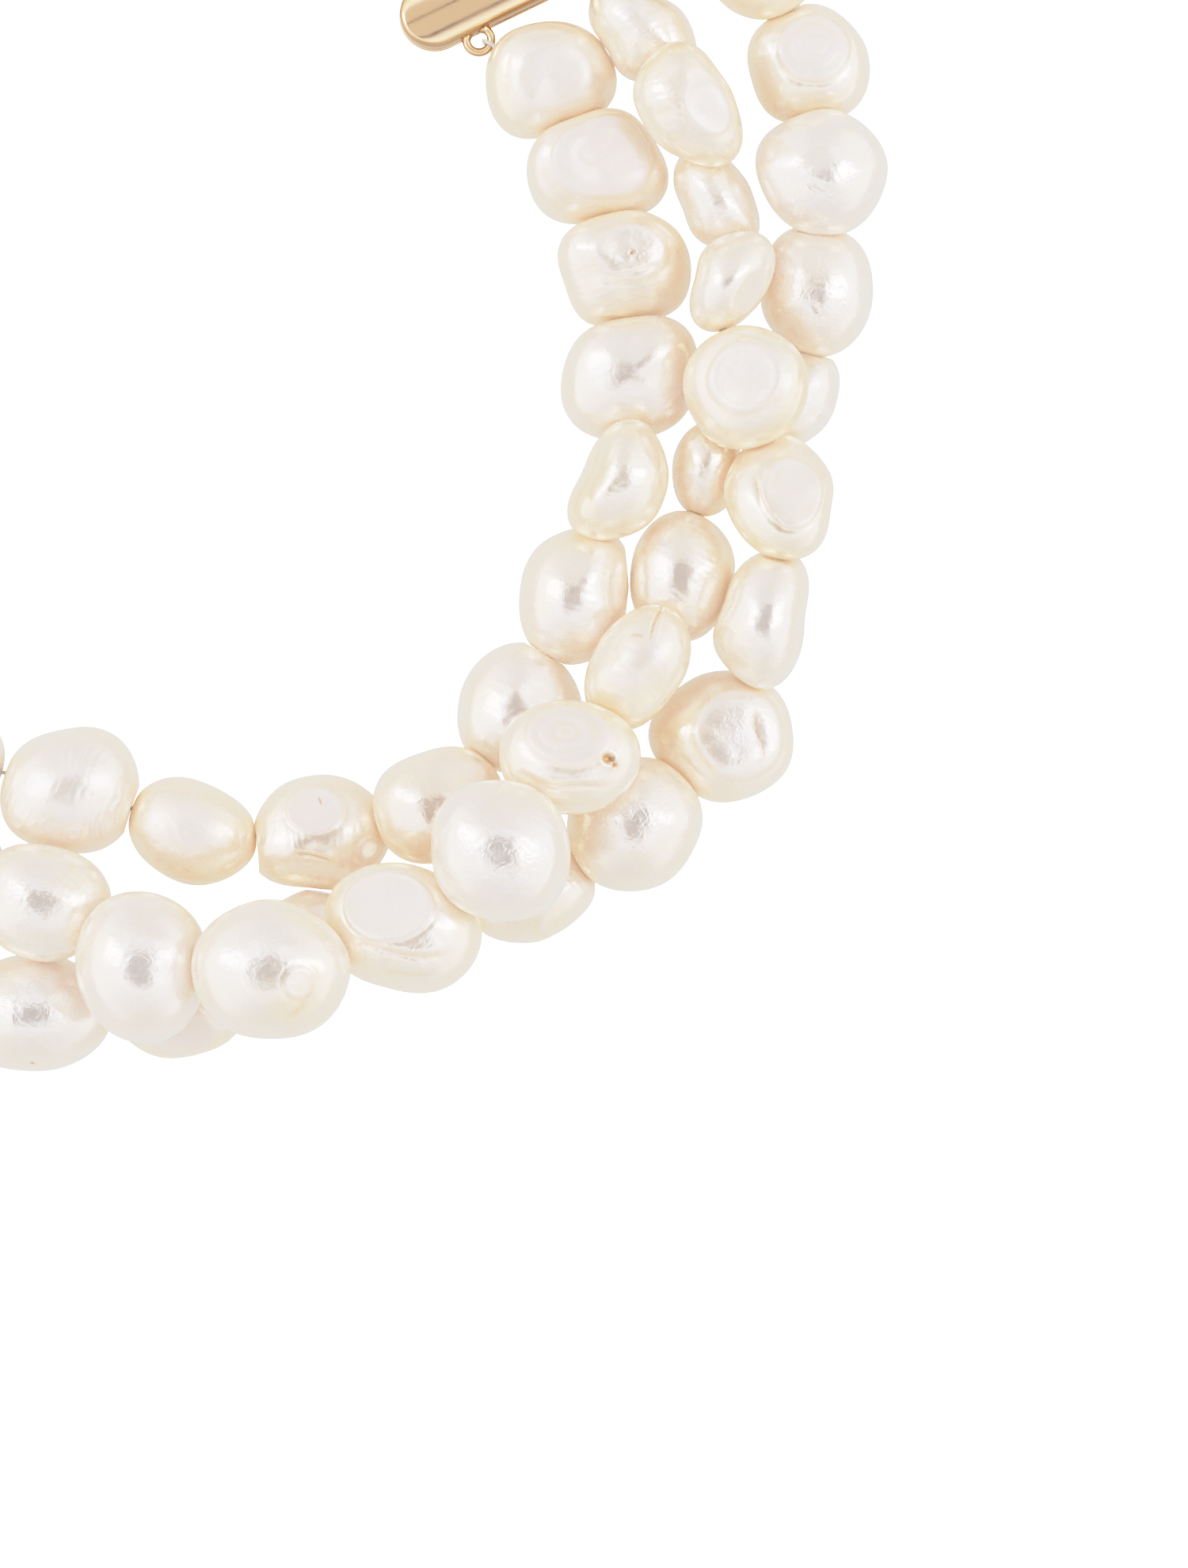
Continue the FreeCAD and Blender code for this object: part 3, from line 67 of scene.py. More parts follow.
# One pearl a row, in strand order: centre x y z, half-axes, quaternion x y z w
PEARL_ROWS = {
    "inner": table("""
-4.2176 -12.8496 4.1823  5.767 5.183 4.015  0.16265 0.0694 0.09631 0.97952
0.396 -21.3645 4.604  6.278 5.183 3.796  0.30897 0.16352 -0.05323 0.93539
2.9088 -30.5032 4.5512  6.132 5.256 3.942  0.29334 0.11399 -0.13546 0.93947
3.3525 -40.6244 4.4743  6.278 5.475 4.234  0.21215 -0.01179 0.03997 0.97635
2.3976 -49.973 8.164  4.818 5.548 4.088  0.67462 -0.24085 0.68512 0.13229
-1.833 -60.4449 5.1109  6.278 5.037 5.11  -0.00879 -0.00896 -0.69003 0.72367
-6.8919 -71.1852 4.9641  5.84 5.621 4.964  0.00354 0.00331 -0.01288 0.99991
-13.9843 -79.8182 7.6014  5.913 4.964 4.526  -0.00476 0.03883 0.1737 0.98402
-24.8471 -82.1266 4.3887  6.059 5.402 4.38  -0.01238 0.03225 -0.10286 0.9941
-36.7076 -82.1587 4.8185  5.913 4.526 4.818  -0.00085 -0.00285 -0.21017 0.97766
-47.9988 -78.2738 5.1101  5.84 5.694 5.11  0.00706 -0.00222 0.00044 0.99997
-59.0967 -75.7386 4.526  5.256 4.526 4.526  0 -0.00001 -0.00151 1
-70.4151 -72.7875 4.8321  6.284 4.5258 4.8321  -0.00005 0.00001 0.99402 0.10922
-81.413 -68.5479 4.2698  5.9114 5.3447 4.2698  0 0 0.5539 0.83258
-91.1084 -63.6279 4.4776  5.9668 5.3045 4.4776  0 0 0.49559 0.86856
-100.7589 -56.9497 5.0726  6.3585 4.5386 5.0726  -0.00003 0.00002 0.89108 0.45384
-109.5239 -48.4774 3.9915  5.8773 5.5212 3.9915  -0.00007 0 0.5901 0.80733
-115.9395 -38.6626 5.0769  5.9576 4.6329 5.0769  -0.00002 0.00002 0.84928 0.52794
-119.856 -27.9058 4.1714  5.9434 5.1572 4.1714  0 0 -0.02083 0.99978
-120.3639 -17.3286 4.9441  6.0358 5.1523 4.9441  0 0 0.17185 0.98512
-118.22 -6.3733 4.9649  6.4227 5.459 4.9649  0 0 -0.2411 0.9705
-113.4299 3.7944 5.0034  5.6738 4.3481 5.0033  0 -0.00001 0.39353 0.91931
-106.5981 12.4777 4.408  6.209 5.186 4.408  -0.00002 0.00005 -0.28541 0.9584
-97.9726 19.1738 5.1247  6.3742 5.38 5.1243  -0.00001 -0.00001 -0.53157 0.84702
-87.4918 24.3062 4.787  4.4506 6.0877 4.787  0.56291 0.82652 -0.00001 0
-76.3277 27.2894 5.1113  6.0608 5.2087 5.1111  0 0.00001 -0.49731 0.86757
-65.0058 28.5376 5.0976  5.832 4.6003 5.0969  0.00008 -0.00028 0.10678 0.99428
-53.6862 27.9605 4.132  6.6231 5.3948 4.132  0.00023 -0.00041 -0.67669 0.73627
-42.4841 25.2038 4.1571  6.4587 5.4847 4.1571  0.00063 -0.0005 0.92842 -0.37152
-31.9004 19.9994 4.9456  6.036 4.2233 4.9447  0.00008 0.00024 -0.2134 0.97696
-23.013 12.6041 4.6024  6.4196 5.4335 4.6019  0.00004 0.00164 0.89094 -0.45411
-16.5498 4.0107 3.8082  5.9265 5.0726 3.8052  0.0006 0.01237 0.93213 -0.36192
""", 10),
    "middle": table("""
4.3207 -8.9881 5.4931  5.694 3.358 4.964  0.0435 0.17288 -0.39536 0.90106
8.6902 -16.2428 10.7183  5.621 4.38 4.234  0.11403 0.15226 -0.44899 0.87305
11.3104 -24.2983 4.6861  4.964 3.358 4.672  0.06521 0.09253 -0.46718 0.87689
12.0602 -32.2905 9.3757  5.402 3.431 4.818  -0.06549 -0.02282 0.90872 -0.41161
13.8721 -41.7744 10.6805  5.986 5.402 3.796  0.01181 -0.19266 0.14237 0.97081
10.2233 -48.7563 4.599  4.38 3.358 3.796  0.08784 0.05579 -0.69359 0.71282
8.0193 -58.7811 4.83  5.767 4.672 4.818  -0.04177 -0.03381 0.7476 -0.66197
3.8887 -67.1899 9.736  4.234 6.059 4.088  0.65231 -0.27176 0.70211 0.08754
-2.2737 -75.3754 12.8792  6.278 5.11 4.088  0.0255 -0.02756 -0.05987 0.9975
-8.2761 -83.7675 17.2212  6.57 6.059 5.256  -0.00789 0.00755 -0.38132 0.92438
-17.3887 -90.7743 13.4249  7.081 5.694 4.818  -0.00486 -0.01731 -0.17112 0.98509
-28.9022 -94.5572 17.843  7.081 6.351 5.256  0.00822 -0.0032 -0.14963 0.9887
-40.9753 -94.5943 13.672  6.789 5.767 5.548  0.01019 0.02676 -0.6349 0.77206
-49.9828 -88.5245 9.0601  5.767 5.402 4.818  -0.01915 0.03177 0.00519 0.9993
-59.1469 -85.056 4.526  4.526 5.256 4.526  -0.57136 -0.4166 0.57433 -0.41249
-70.0576 -86.3405 4.3175  6.1299 5.4987 4.3175  0.00024 -0.00041 0.63338 0.77384
-80.6022 -83.8089 4.3011  6.5183 4.8805 4.3011  -0.00002 0.00003 0.69983 0.71431
-90.1959 -79.8586 3.993  6.4445 4.8719 3.993  0 0 0.43719 0.89937
-99.6588 -74.7451 4.5062  6.1585 5.5642 4.5062  0 0 0.36546 0.93083
-108.9022 -68.3655 4.1067  5.8367 5.3068 4.1067  0 0 0.51629 0.85642
-116.8606 -61.1632 3.9048  6.2669 4.9936 3.9048  0 0 0.22215 0.97501
-123.7701 -52.6979 4.516  6.4219 5.3981 4.516  0 0 0.06249 0.99805
-129.5268 -42.4437 5.1661  5.973 4.2112 5.1661  -0.00002 0.00001 0.85127 0.52472
-133.3213 -31.6685 4.0533  5.8893 5.0475 4.0533  -0.00002 -0.00001 -0.05023 0.99874
-134.4144 -20.8909 4.7506  6.2914 5.4944 4.7506  -0.00001 0 -0.07559 0.99714
-133.6737 -10.0119 3.8637  6.0868 5.0285 3.8637  -0.00001 0.00001 0.06645 0.99779
-130.7173 0.6331 4.0265  6.3733 5.5924 4.0265  -0.00002 0 -0.24257 0.97013
-125.5653 10.945 4.2591  6.1332 5.4841 4.2591  -0.00001 0 -0.53195 0.84678
-118.6135 20.1512 4.1121  6.1582 5.4697 4.1121  0 0 -0.1042 0.99456
-109.9697 27.8518 4.7661  6.26 5.5775 4.7661  0.00002 -0.00004 -0.22429 0.97452
-100.347 34.0543 4.0555  6.4381 5.3155 4.0555  0.00006 0 -0.64172 0.76694
-90.3752 38.1473 4.1946  5.7108 5.1015 4.1946  0 0 -0.45481 0.89059
-80.1212 40.8005 4.5989  6.1126 5.1127 4.5989  -0.00002 0.0001 -0.46459 0.88553
-69.1928 42.2399 5.2105  5.2022 5.5542 4.1243  -0.48838 -0.5113 -0.48868 0.51114
-58.3629 42.4942 3.8567  6.3303 5.1557 3.8567  0.00016 -0.00041 0.74878 -0.66282
-47.3962 40.9097 4.927  6.2881 5.6642 4.9146  -0.0002 0.00052 -0.58484 0.81115
-36.3953 37.9467 4.6482  5.9261 5.1569 4.6423  -0.00101 0.00059 0.91123 -0.41189
-26.3915 33.2085 4.0466  6.3339 5.5667 4.0465  -0.00151 0.00119 0.93571 -0.35275
-17.3383 26.9885 4.1247  5.9855 5.1335 4.1247  0.00111 -0.00322 0.926 -0.37751
-9.7753 19.1249 4.8818  6.183 5.4678 4.8785  0.00367 -0.00342 0.98725 -0.15912
-3.4746 9.6915 5.7263  6.2286 5.6087 4.9612  0.00961 0.0255 0.91895 -0.39343
""", 10),
    "outer": table("""
15.3842 -2.5452 6.2318  5.548 5.11 4.526  0.00298 -0.00027 0.00965 0.99995
19.8036 -11.973 4.2475  5.548 5.183 4.234  0.05526 0.01047 0.00805 0.99838
20.9704 -21.9363 7.4363  5.986 5.329 5.11  0.04547 0.00339 0.00125 0.99896
20.52 -32.7108 4.8208  5.621 5.256 4.818  -0.00866 -0.02255 -0.70606 0.70774
17.8993 -42.5152 3.8069  4.818 4.38 3.796  -0.02522 -0.04487 -0.00204 0.99867
17.5751 -51.6934 8.8687  6.059 4.964 3.942  -0.16861 -0.13504 -0.60284 0.76806
15.7207 -62.9484 7.9007  5.11 5.986 4.161  0.6848 -0.04613 0.71728 0.12013
12.2015 -73.4511 4.5324  6.497 5.621 4.526  -0.00217 -0.02572 -0.06549 0.99752
3.7847 -81.7163 6.5433  6.059 5.84 5.11  0.00694 -0.01028 -0.01549 0.9998
-5.766 -87.7022 4.3815  5.402 4.745 4.38  -0.00509 0.01732 0.16205 0.98662
-16.1572 -90.9864 4.2345  5.256 4.526 4.234  -0.00033 -0.00993 0.01947 0.99976
-26.5748 -91.9541 3.9421  4.38 4.818 3.942  0.70709 0.70711 0.00017 0.0038
-38.1418 -97.5545 4.2354  6.132 5.183 4.234  -0.00342 -0.01227 -0.00156 0.99992
-51.1344 -98.9217 5.2579  6.789 5.694 5.256  -0.03071 0.00577 -0.01347 0.99942
-63.6073 -98.7143 4.6413  5.8301 5.3196 4.6413  0 0 0.8409 0.54119
-74.8553 -98.0773 4.8472  5.7417 5.4419 4.8472  0.00011 -0.00021 0.71205 0.70212
-85.5201 -95.8781 4.1545  6.043 5.1762 4.1545  -0.00003 0.00003 0.70691 0.7073
-96.0583 -92.9442 4.5484  5.7029 5.4955 4.5484  -0.00001 -0.00001 0.63349 0.77375
-105.8767 -87.8122 4.0188  6.209 5.1263 4.0188  -0.00002 0 0.67735 0.73566
-115.097 -81.7083 4.2246  6.3153 5.2084 4.2246  -0.00001 -0.00002 0.26003 0.9656
-123.5739 -74.5159 5.128  5.128 5.6329 4.1834  0.30158 -0.63957 0.30158 0.63957
-131.3935 -66.2295 5.0642  5.5658 4.4006 5.0642  0 0 0.86487 0.502
-138.1252 -56.8884 4.9111  3.9083 5.7692 4.9111  -0.20537 0.97869 0 0
-143.4072 -46.6897 4.7495  5.8401 5.3669 4.7495  0 0 -0.04423 0.99902
-146.9524 -36.0126 4.6262  5.7792 5.5233 4.6262  0 0 -0.01799 0.99984
-148.7301 -25.072 4.1737  6.4882 5.2522 4.1737  0 0 0.07014 0.99754
-148.4269 -14.0356 5.053  4.4245 5.6309 5.053  0.10332 0.99465 0 0
-146.8242 -2.813 3.9002  5.9232 5.2978 3.9002  0 0 -0.3257 0.94547
-143.026 7.9054 5.0316  5.7816 4.2675 5.0316  0 0 0.57933 0.81509
-138.2698 17.921 3.794  6.4735 4.9816 3.794  0 0 -0.35674 0.9342
-132.1155 26.4607 4.2023  5.9008 5.1748 4.2023  0 0 -0.47059 0.88235
-124.5237 34.5974 3.9993  5.7106 5.6352 3.9993  0 0 -0.21496 0.97662
-115.2743 41.72 4.7162  5.8252 4.4177 4.7162  0 0 0.18746 0.98227
-105.4057 47.4849 4.4229  6.2134 5.0886 4.4229  0 0 -0.27243 0.96218
-94.9645 51.7142 4.4011  5.8742 5.476 4.4011  0 0 -0.34705 0.93785
-84.2947 54.7598 3.8586  6.4507 5.2957 3.8586  0 0 -0.59921 0.80059
-73.631 56.3571 4.4585  5.7351 5.0681 4.4585  0 -0.00001 -0.4825 0.87589
-62.7939 56.9608 4.0788  6.2812 5.3361 4.0788  -0.00001 0.00001 0.77974 -0.6261
-51.9647 56.1683 4.4737  6.0336 5.2165 4.4737  0.00001 -0.00001 0.79988 -0.60017
-40.9909 54.0141 5.1228  5.7876 4.4477 5.1218  0 -0.00001 -0.04045 0.99918
-29.9742 50.4817 4.9828  5.7264 5.6303 4.9791  -0.00009 0.0003 0.72703 -0.6866
-20.0293 45.8577 4.0075  5.9452 5.0523 4.0075  -0.00046 0.00032 0.92806 -0.37243
-11.0577 39.9352 3.9395  5.8765 5.4048 3.9395  0.00007 -0.00126 0.81849 -0.57451
-2.7513 32.3352 4.8497  6.2964 5.5004 4.8453  0.00075 -0.00058 0.97593 -0.21809
4.8885 23.227 5.0401  6.1248 4.3665 5.04  0.00112 0.00435 -0.41812 0.90838
9.5874 13.2193 7.3817  6.2041 5.147 4.9528  -0.00047 0.00362 0.99327 -0.11574
""", 10),
}

# Ends of the drilled holes, x y z: each point is where one pearl's hole ends and the next
# one's begins, so a strand of n pearls has n + 1 points.
HOLES = {
    "inner": table("""
-8.6814 -10.6388 2.6965  -2.0516 -17.3405 4.6853  1.321 -25.8649 4.5955
3.1616 -35.3611 4.3469  3.3389 -45.3564 5.878  -0.1345 -54.7409 6.5475
-3.8894 -66.244 5.0619  -10.1731 -75.7129 6.3065  -19.3073 -81.2657 5.9377
-30.9357 -82.5542 4.6864  -42.3344 -80.0409 4.9493  -53.8121 -76.7991 4.7989
-64.2606 -74.4839 4.6835  -76.4391 -70.7676 4.5379  -86.2389 -66.0 4.3685
-95.9128 -61.0431 4.7587  -105.2349 -52.2964 4.4407  -112.69 -43.6997 4.4223
-117.9651 -32.9535 4.5657  -120.4474 -22.6656 4.4966  -118.6211 -12.0572 4.9546
-116.3121 -1.1153 4.984  -109.798 8.265 4.6816  -101.9892 15.3471 4.7187
-93.1174 21.7307 4.9348  -81.6198 26.2567 4.9276  -70.8544 27.5036 5.1037
-59.1576 28.7365 4.5301  -48.4134 25.773 4.1481  -37.3238 22.8224 4.4986
-26.8839 16.5996 4.7652  -19.8103 8.0123 4.1214  -14.7307 -0.6773 2.3699
""", 3),
    "middle": table("""
2.2272 -5.2629 2.4641  6.806 -12.4159 8.5312  10.014 -20.6803 7.7318
12.9459 -28.3298 6.8859  11.785 -36.6896 10.0612  10.9775 -45.626 7.5156
9.435 -53.1022 4.6821  6.2811 -62.9508 7.7566  1.0737 -71.7551 11.0954
-5.5343 -79.0776 14.6088  -12.4339 -87.6844 15.2227  -23.1376 -92.3639 15.4848
-35.6064 -94.5097 16.0057  -45.3958 -90.9677 11.168  -54.7748 -86.7551 6.766
-64.4448 -85.2005 4.4178  -75.6663 -85.33 4.3095  -85.0426 -80.8115 4.1371
-94.6441 -77.5212 4.2366  -104.5058 -71.6369 4.2936  -112.5376 -64.2746 4.0028
-119.952 -57.0449 4.1841  -126.8277 -47.9124 4.8115  -131.5759 -36.7141 4.5186
-133.8253 -26.5064 4.3633  -134.3252 -15.2231 4.2386  -131.6831 -5.0525 3.9452
-127.8815 5.5788 4.1376  -122.518 15.8882 4.1833  -114.2022 23.9356 4.3923
-104.6508 30.4134 4.3646  -95.401 36.5051 4.1215  -85.2974 39.5629 4.3795
-74.7524 41.3736 4.8749  -63.6035 42.3029 4.3664  -53.1531 41.9957 4.2967
-41.7916 38.7675 4.784  -31.6388 35.6184 4.2903  -21.6721 29.9838 4.0943
-13.9392 23.0149 4.4565  -6.3808 14.6414 5.2618  -2.2396 5.1881 2.5178
""", 3),
    "outer": table("""
14.3801 0.8186 2.6144  17.6046 -7.2177 5.2689  20.3453 -16.9282 5.5124
20.7142 -27.163 5.9768  19.2614 -38.2362 4.2783  17.5047 -46.3758 5.8703
16.9793 -57.2036 9.1098  14.2266 -68.413 6.1469  7.7809 -77.401 5.3877
-1.2051 -84.9284 5.3103  -10.9963 -89.5537 4.3574  -21.5845 -91.4919 4.071
-31.7403 -94.631 4.1237  -44.3182 -98.2318 4.6071  -58.0596 -98.972 4.9617
-69.2157 -98.2019 4.7403  -80.3253 -97.0534 4.4574  -90.6118 -94.2469 4.339
-101.2086 -90.6138 4.2585  -109.945 -83.9848 4.1172  -119.3563 -78.363 4.6052
-127.805 -70.6033 5.0961  -134.9261 -61.7729 4.9848  -140.5816 -51.549 4.8296
-145.247 -41.4319 4.6857  -147.8958 -30.4095 4.3833  -148.7009 -19.7051 4.5443
-147.3272 -8.3914 4.347  -145.1067 2.3967 4.3513  -140.4486 13.1811 4.2868
-135.1698 22.0082 3.9831  -128.5997 30.4975 4.0921  -120.164 38.4376 4.3031
-110.1876 44.8036 4.5668  -100.068 49.2388 4.4118  -89.4285 53.0838 4.1026
-78.9144 55.7011 4.1136  -68.2702 56.0964 4.2492  -57.3309 56.5179 4.257
-46.7713 55.0225 4.7711  -35.3331 52.5625 5.0508  -24.9366 47.7702 4.4141
-15.5076 43.2519 3.9763  -7.2629 35.8431 4.307  0.9681 28.0704 4.9535
7.7627 17.9953 6.1469  10.1739 10.9115 2.7139
""", 3),
}

# Seen from above, how far each outline swells or falls short of its plain oval:
# place in the strand, constant, then cosine and sine terms of 1 to 5 turns
OUTLINE_ROWS = {
    "inner": table("""
1  0.022 0.011 -0.076 0.02 0.02 0.056 -0.014 -0.012 -0.036 -0.008 -0.002
2  0.067 -0.005 -0.018 0.014 0.014 -0.01 -0.061 -0.02 -0.051 0.006 0.006
3  0.042 -0.016 -0.02 -0.002 0.021 0.011 0 -0.033 -0.041 -0.004 0.024
4  0.047 -0.003 -0.009 -0.01 0.058 -0.012 0.004 -0.048 -0.001 -0.003 -0.006
5  0.003 0.053 -0.096 -0.047 0.007 0.016 -0.061 -0.016 0.008 0.017 0.011
6  0.005 0.032 -0.01 0.012 0.059 -0.023 0.015 -0.032 -0.003 -0.005 -0.003
7  0.007 0.01 0.023 -0.033 0.001 0.012 -0.022 0.004 0.006 0.007 0.004
8  0.025 -0.026 0.019 -0.006 -0.013 0.009 0.013 -0.007 -0.021 0.006 0.01
9  0.013 -0.029 -0.043 0.034 0.038 -0.001 -0.036 -0.013 0.022 0.017 -0.001
10  0.016 -0.014 -0.001 -0.009 0.015 0.016 0.004 0.009 0.01 -0.002 -0.004
11  0.049 0.044 -0.019 0.025 0.041 -0.02 -0.002 -0.025 0.011 0.01 -0.002
""", 12),
    "middle": table("""
1  0.066 0.04 -0.022 0.035 0.05 0.053 0.035 0.014 -0.023 -0.033 0.009
2  0.015 -0.033 -0.011 -0.025 -0.05 -0.027 -0.048 0.001 0.003 -0.009 0.028
3  -0.006 -0.018 -0.031 -0.04 -0.01 0.026 0.001 -0.018 -0.017 -0.013 0.014
4  -0.065 0.105 0.043 -0.056 -0.043 0.031 0.011 -0.011 0.008 -0.007 -0.009
5  -0.007 0.012 0.006 -0.007 -0.011 0.001 0.012 0.004 -0.01 -0.007 0.006
6  -0.047 0.06 -0.044 -0.009 0.03 -0.002 0 -0.003 -0.006 0 0.003
7  0.016 0.007 0.002 -0.004 -0.007 0.003 0.015 0.001 0.018 0.005 0.005
8  0.016 0.021 -0.008 0.007 0.003 0.009 0.014 0.012 0.007 0.002 -0.003
9  0.005 0.009 0.002 0.008 0.004 0.006 0.005 0.004 0.005 0.002 0.005
10  0.004 -0.002 -0.001 -0.003 0.002 0.001 0.002 -0.022 0 0.001 -0.002
11  0.004 0.005 0.002 0.009 -0.005 0.006 -0.008 -0.002 0.006 0.007 0.005
12  -0.014 -0.015 -0.007 0.006 0.02 0.006 -0.008 0 -0.001 0.004 0.01
13  0.025 0.024 0.039 -0.013 0.025 -0.015 0.008 -0.01 0.009 -0.007 0
14  0.007 -0.005 0.005 0.012 -0.018 0.027 0.015 -0.009 0.015 0.011 -0.008
""", 12),
    "outer": table("""
2  0.026 -0.018 -0.012 -0.007 -0.007 0.004 -0.017 -0.012 -0.025 0.001 0.019
3  0.022 -0.016 -0.022 -0.026 -0.019 -0.013 0.021 0.001 -0.012 0.009 0.014
4  0.013 -0.02 0.022 -0.03 -0.018 0.001 0.005 -0.015 0.016 0.002 -0.015
5  -0.007 -0.013 0.038 -0.011 0.052 -0.012 0.037 -0.016 0.008 -0.017 -0.016
6  -0.008 -0.13 0.004 -0.003 0.012 -0.015 0.011 0.005 0.017 -0.005 0.013
7  0.001 -0.08 0.017 -0.049 0.013 -0.045 -0.021 -0.005 0.025 0.005 -0.025
8  0.018 -0.037 -0.005 -0.018 0.001 -0.024 0.009 0.013 -0.006 -0.017 -0.006
9  0.004 -0.01 0.024 -0.025 0.027 -0.006 0.003 0.007 -0.005 0.005 0.015
10  -0.002 0.007 0.019 0.028 0.011 0.018 -0.005 0.01 0.004 0.012 0.001
13  0.014 0.008 -0.021 -0.006 -0.008 0.001 -0.005 -0.005 -0.011 -0.013 -0.002
14  -0.023 -0.004 0.041 0.028 0.006 0.003 -0.013 -0.002 0.004 0.009 -0.003
""", 12),
}
OUTLINES = {(strand, int(row[0])): row[1:] for strand, rows in OUTLINE_ROWS.items() for row in rows}

# Shape notes for single pearls, by place in the strand. Each starts with a direction,
# azimuth and elevation in degrees: azimuth 0 along +X, 90 along +Y, elevation 90 straight up.
#   flat    side cut flat: distance (share of the reach there), softness
#   ridge   ring round the direction: radius, width, height
#   crease  to a second azimuth and elevation: width, depth, stain
#   pit     radius, depth
#   folds   wrinkled patch: radius, height
#   pale, cream, grey   tinted patch: radius, strength
# Cream patches are partly the pearl's own tint, mostly painted warm shade where a pearl faces its
# neighbours.
# Grey patches are a painted dark reflection of the camera overhead.
INNER_NOTES = {
    1: [("flat", -40, 78, 0.90, 0.08), ("pale", -40, 78, 34, 0.75),
        ("crease", 150, 50, 225, 40, 4, 0.010, 0.10), ("cream", 200, 25, 45, 0.6),
        ("crease", -75, 50, -30, 55, 4, 0.007, 0.05)],
    2: [("flat", 5, 79, 0.85, 0.04), ("ridge", 5, 79, 43, 5, 0.018),
        ("ridge", 70, 84, 9, 3.5, 0.010), ("pale", 5, 79, 46, 0.9),
        ("crease", 190, 42, 255, 38, 4, 0.008, 0.05), ("cream", 40, 12, 30, 0.8)],
    3: [("flat", 50, 76, 0.91, 0.05), ("crease", -120, 66, -10, 56, 3.6, 0.020, 0.04),
        ("ridge", 45, 78, 30, 4.5, 0.010), ("pit", 33, 79, 2.6, 0.035),
        ("cream", 0, 15, 35, 0.8), ("folds", 120, 60, 30, 0.003)],
    4: [("folds", 100, 60, 45, 0.006), ("grey", -80, 75, 20, 0.5),
        ("crease", 175, 30, 215, 20, 5, 0.008, 0.0), ("cream", 20, 10, 35, 0.6)],
    5: [("flat", 165, 38, 0.84, 0.08), ("crease", 128, 30, 215, 30, 4.5, 0.022, 0.12),
        ("crease", 120, 45, 225, 42, 5, 0.018, 0.10),
        ("crease", 110, 58, 190, 58, 4, 0.010, 0.02), ("folds", 140, 50, 55, 0.008),
        ("cream", 200, 25, 35, 0.7)],
    6: [("flat", 20, 40, 0.94, 0.10), ("grey", -100, 80, 20, 0.4),
        ("folds", 140, 60, 45, 0.005), ("cream", 70, 15, 40, 0.5)],
    7: [("grey", -100, 80, 26, 0.6), ("flat", 40, 60, 0.97, 0.06)],
    8: [("flat", 60, 45, 0.92, 0.10), ("folds", 120, 60, 45, 0.006),
        ("cream", -90, 25, 45, 0.7), ("crease", 200, 50, 130, 42, 4, 0.008, 0.05)],
    9: [("flat", 102, 66, 0.925, 0.015), ("ridge", 102, 66, 22.5, 2.6, 0.010),
        ("pale", 102, 66, 25, 0.9), ("crease", 93, 52, 88, 61, 1.7, 0.012, 0.8),
        ("crease", 226, 58, 290, 60, 2.2, 0.018, 0.5), ("cream", -90, 30, 40, 0.6),
        ("ridge", -20, 40, 10, 3, 0.006)],
    10: [("folds", 180, 50, 60, 0.007), ("pale", 100, 82, 34, 0.75),
         ("crease", 150, 60, 240, 62, 4, 0.010, 0.08), ("cream", -70, 20, 50, 0.8),
         ("crease", 20, 60, -20, 40, 5, 0.008, 0.08)],
    11: [("ridge", -82, 45, 6, 1.8, 0.007), ("pale", 0, 80, 50, 0.3), ("folds", 90, 60, 50, 0.004)],
    12: [("folds", 90, 70, 50, 0.006), ("flat", 0, 60, 0.9, 0.03)],
}
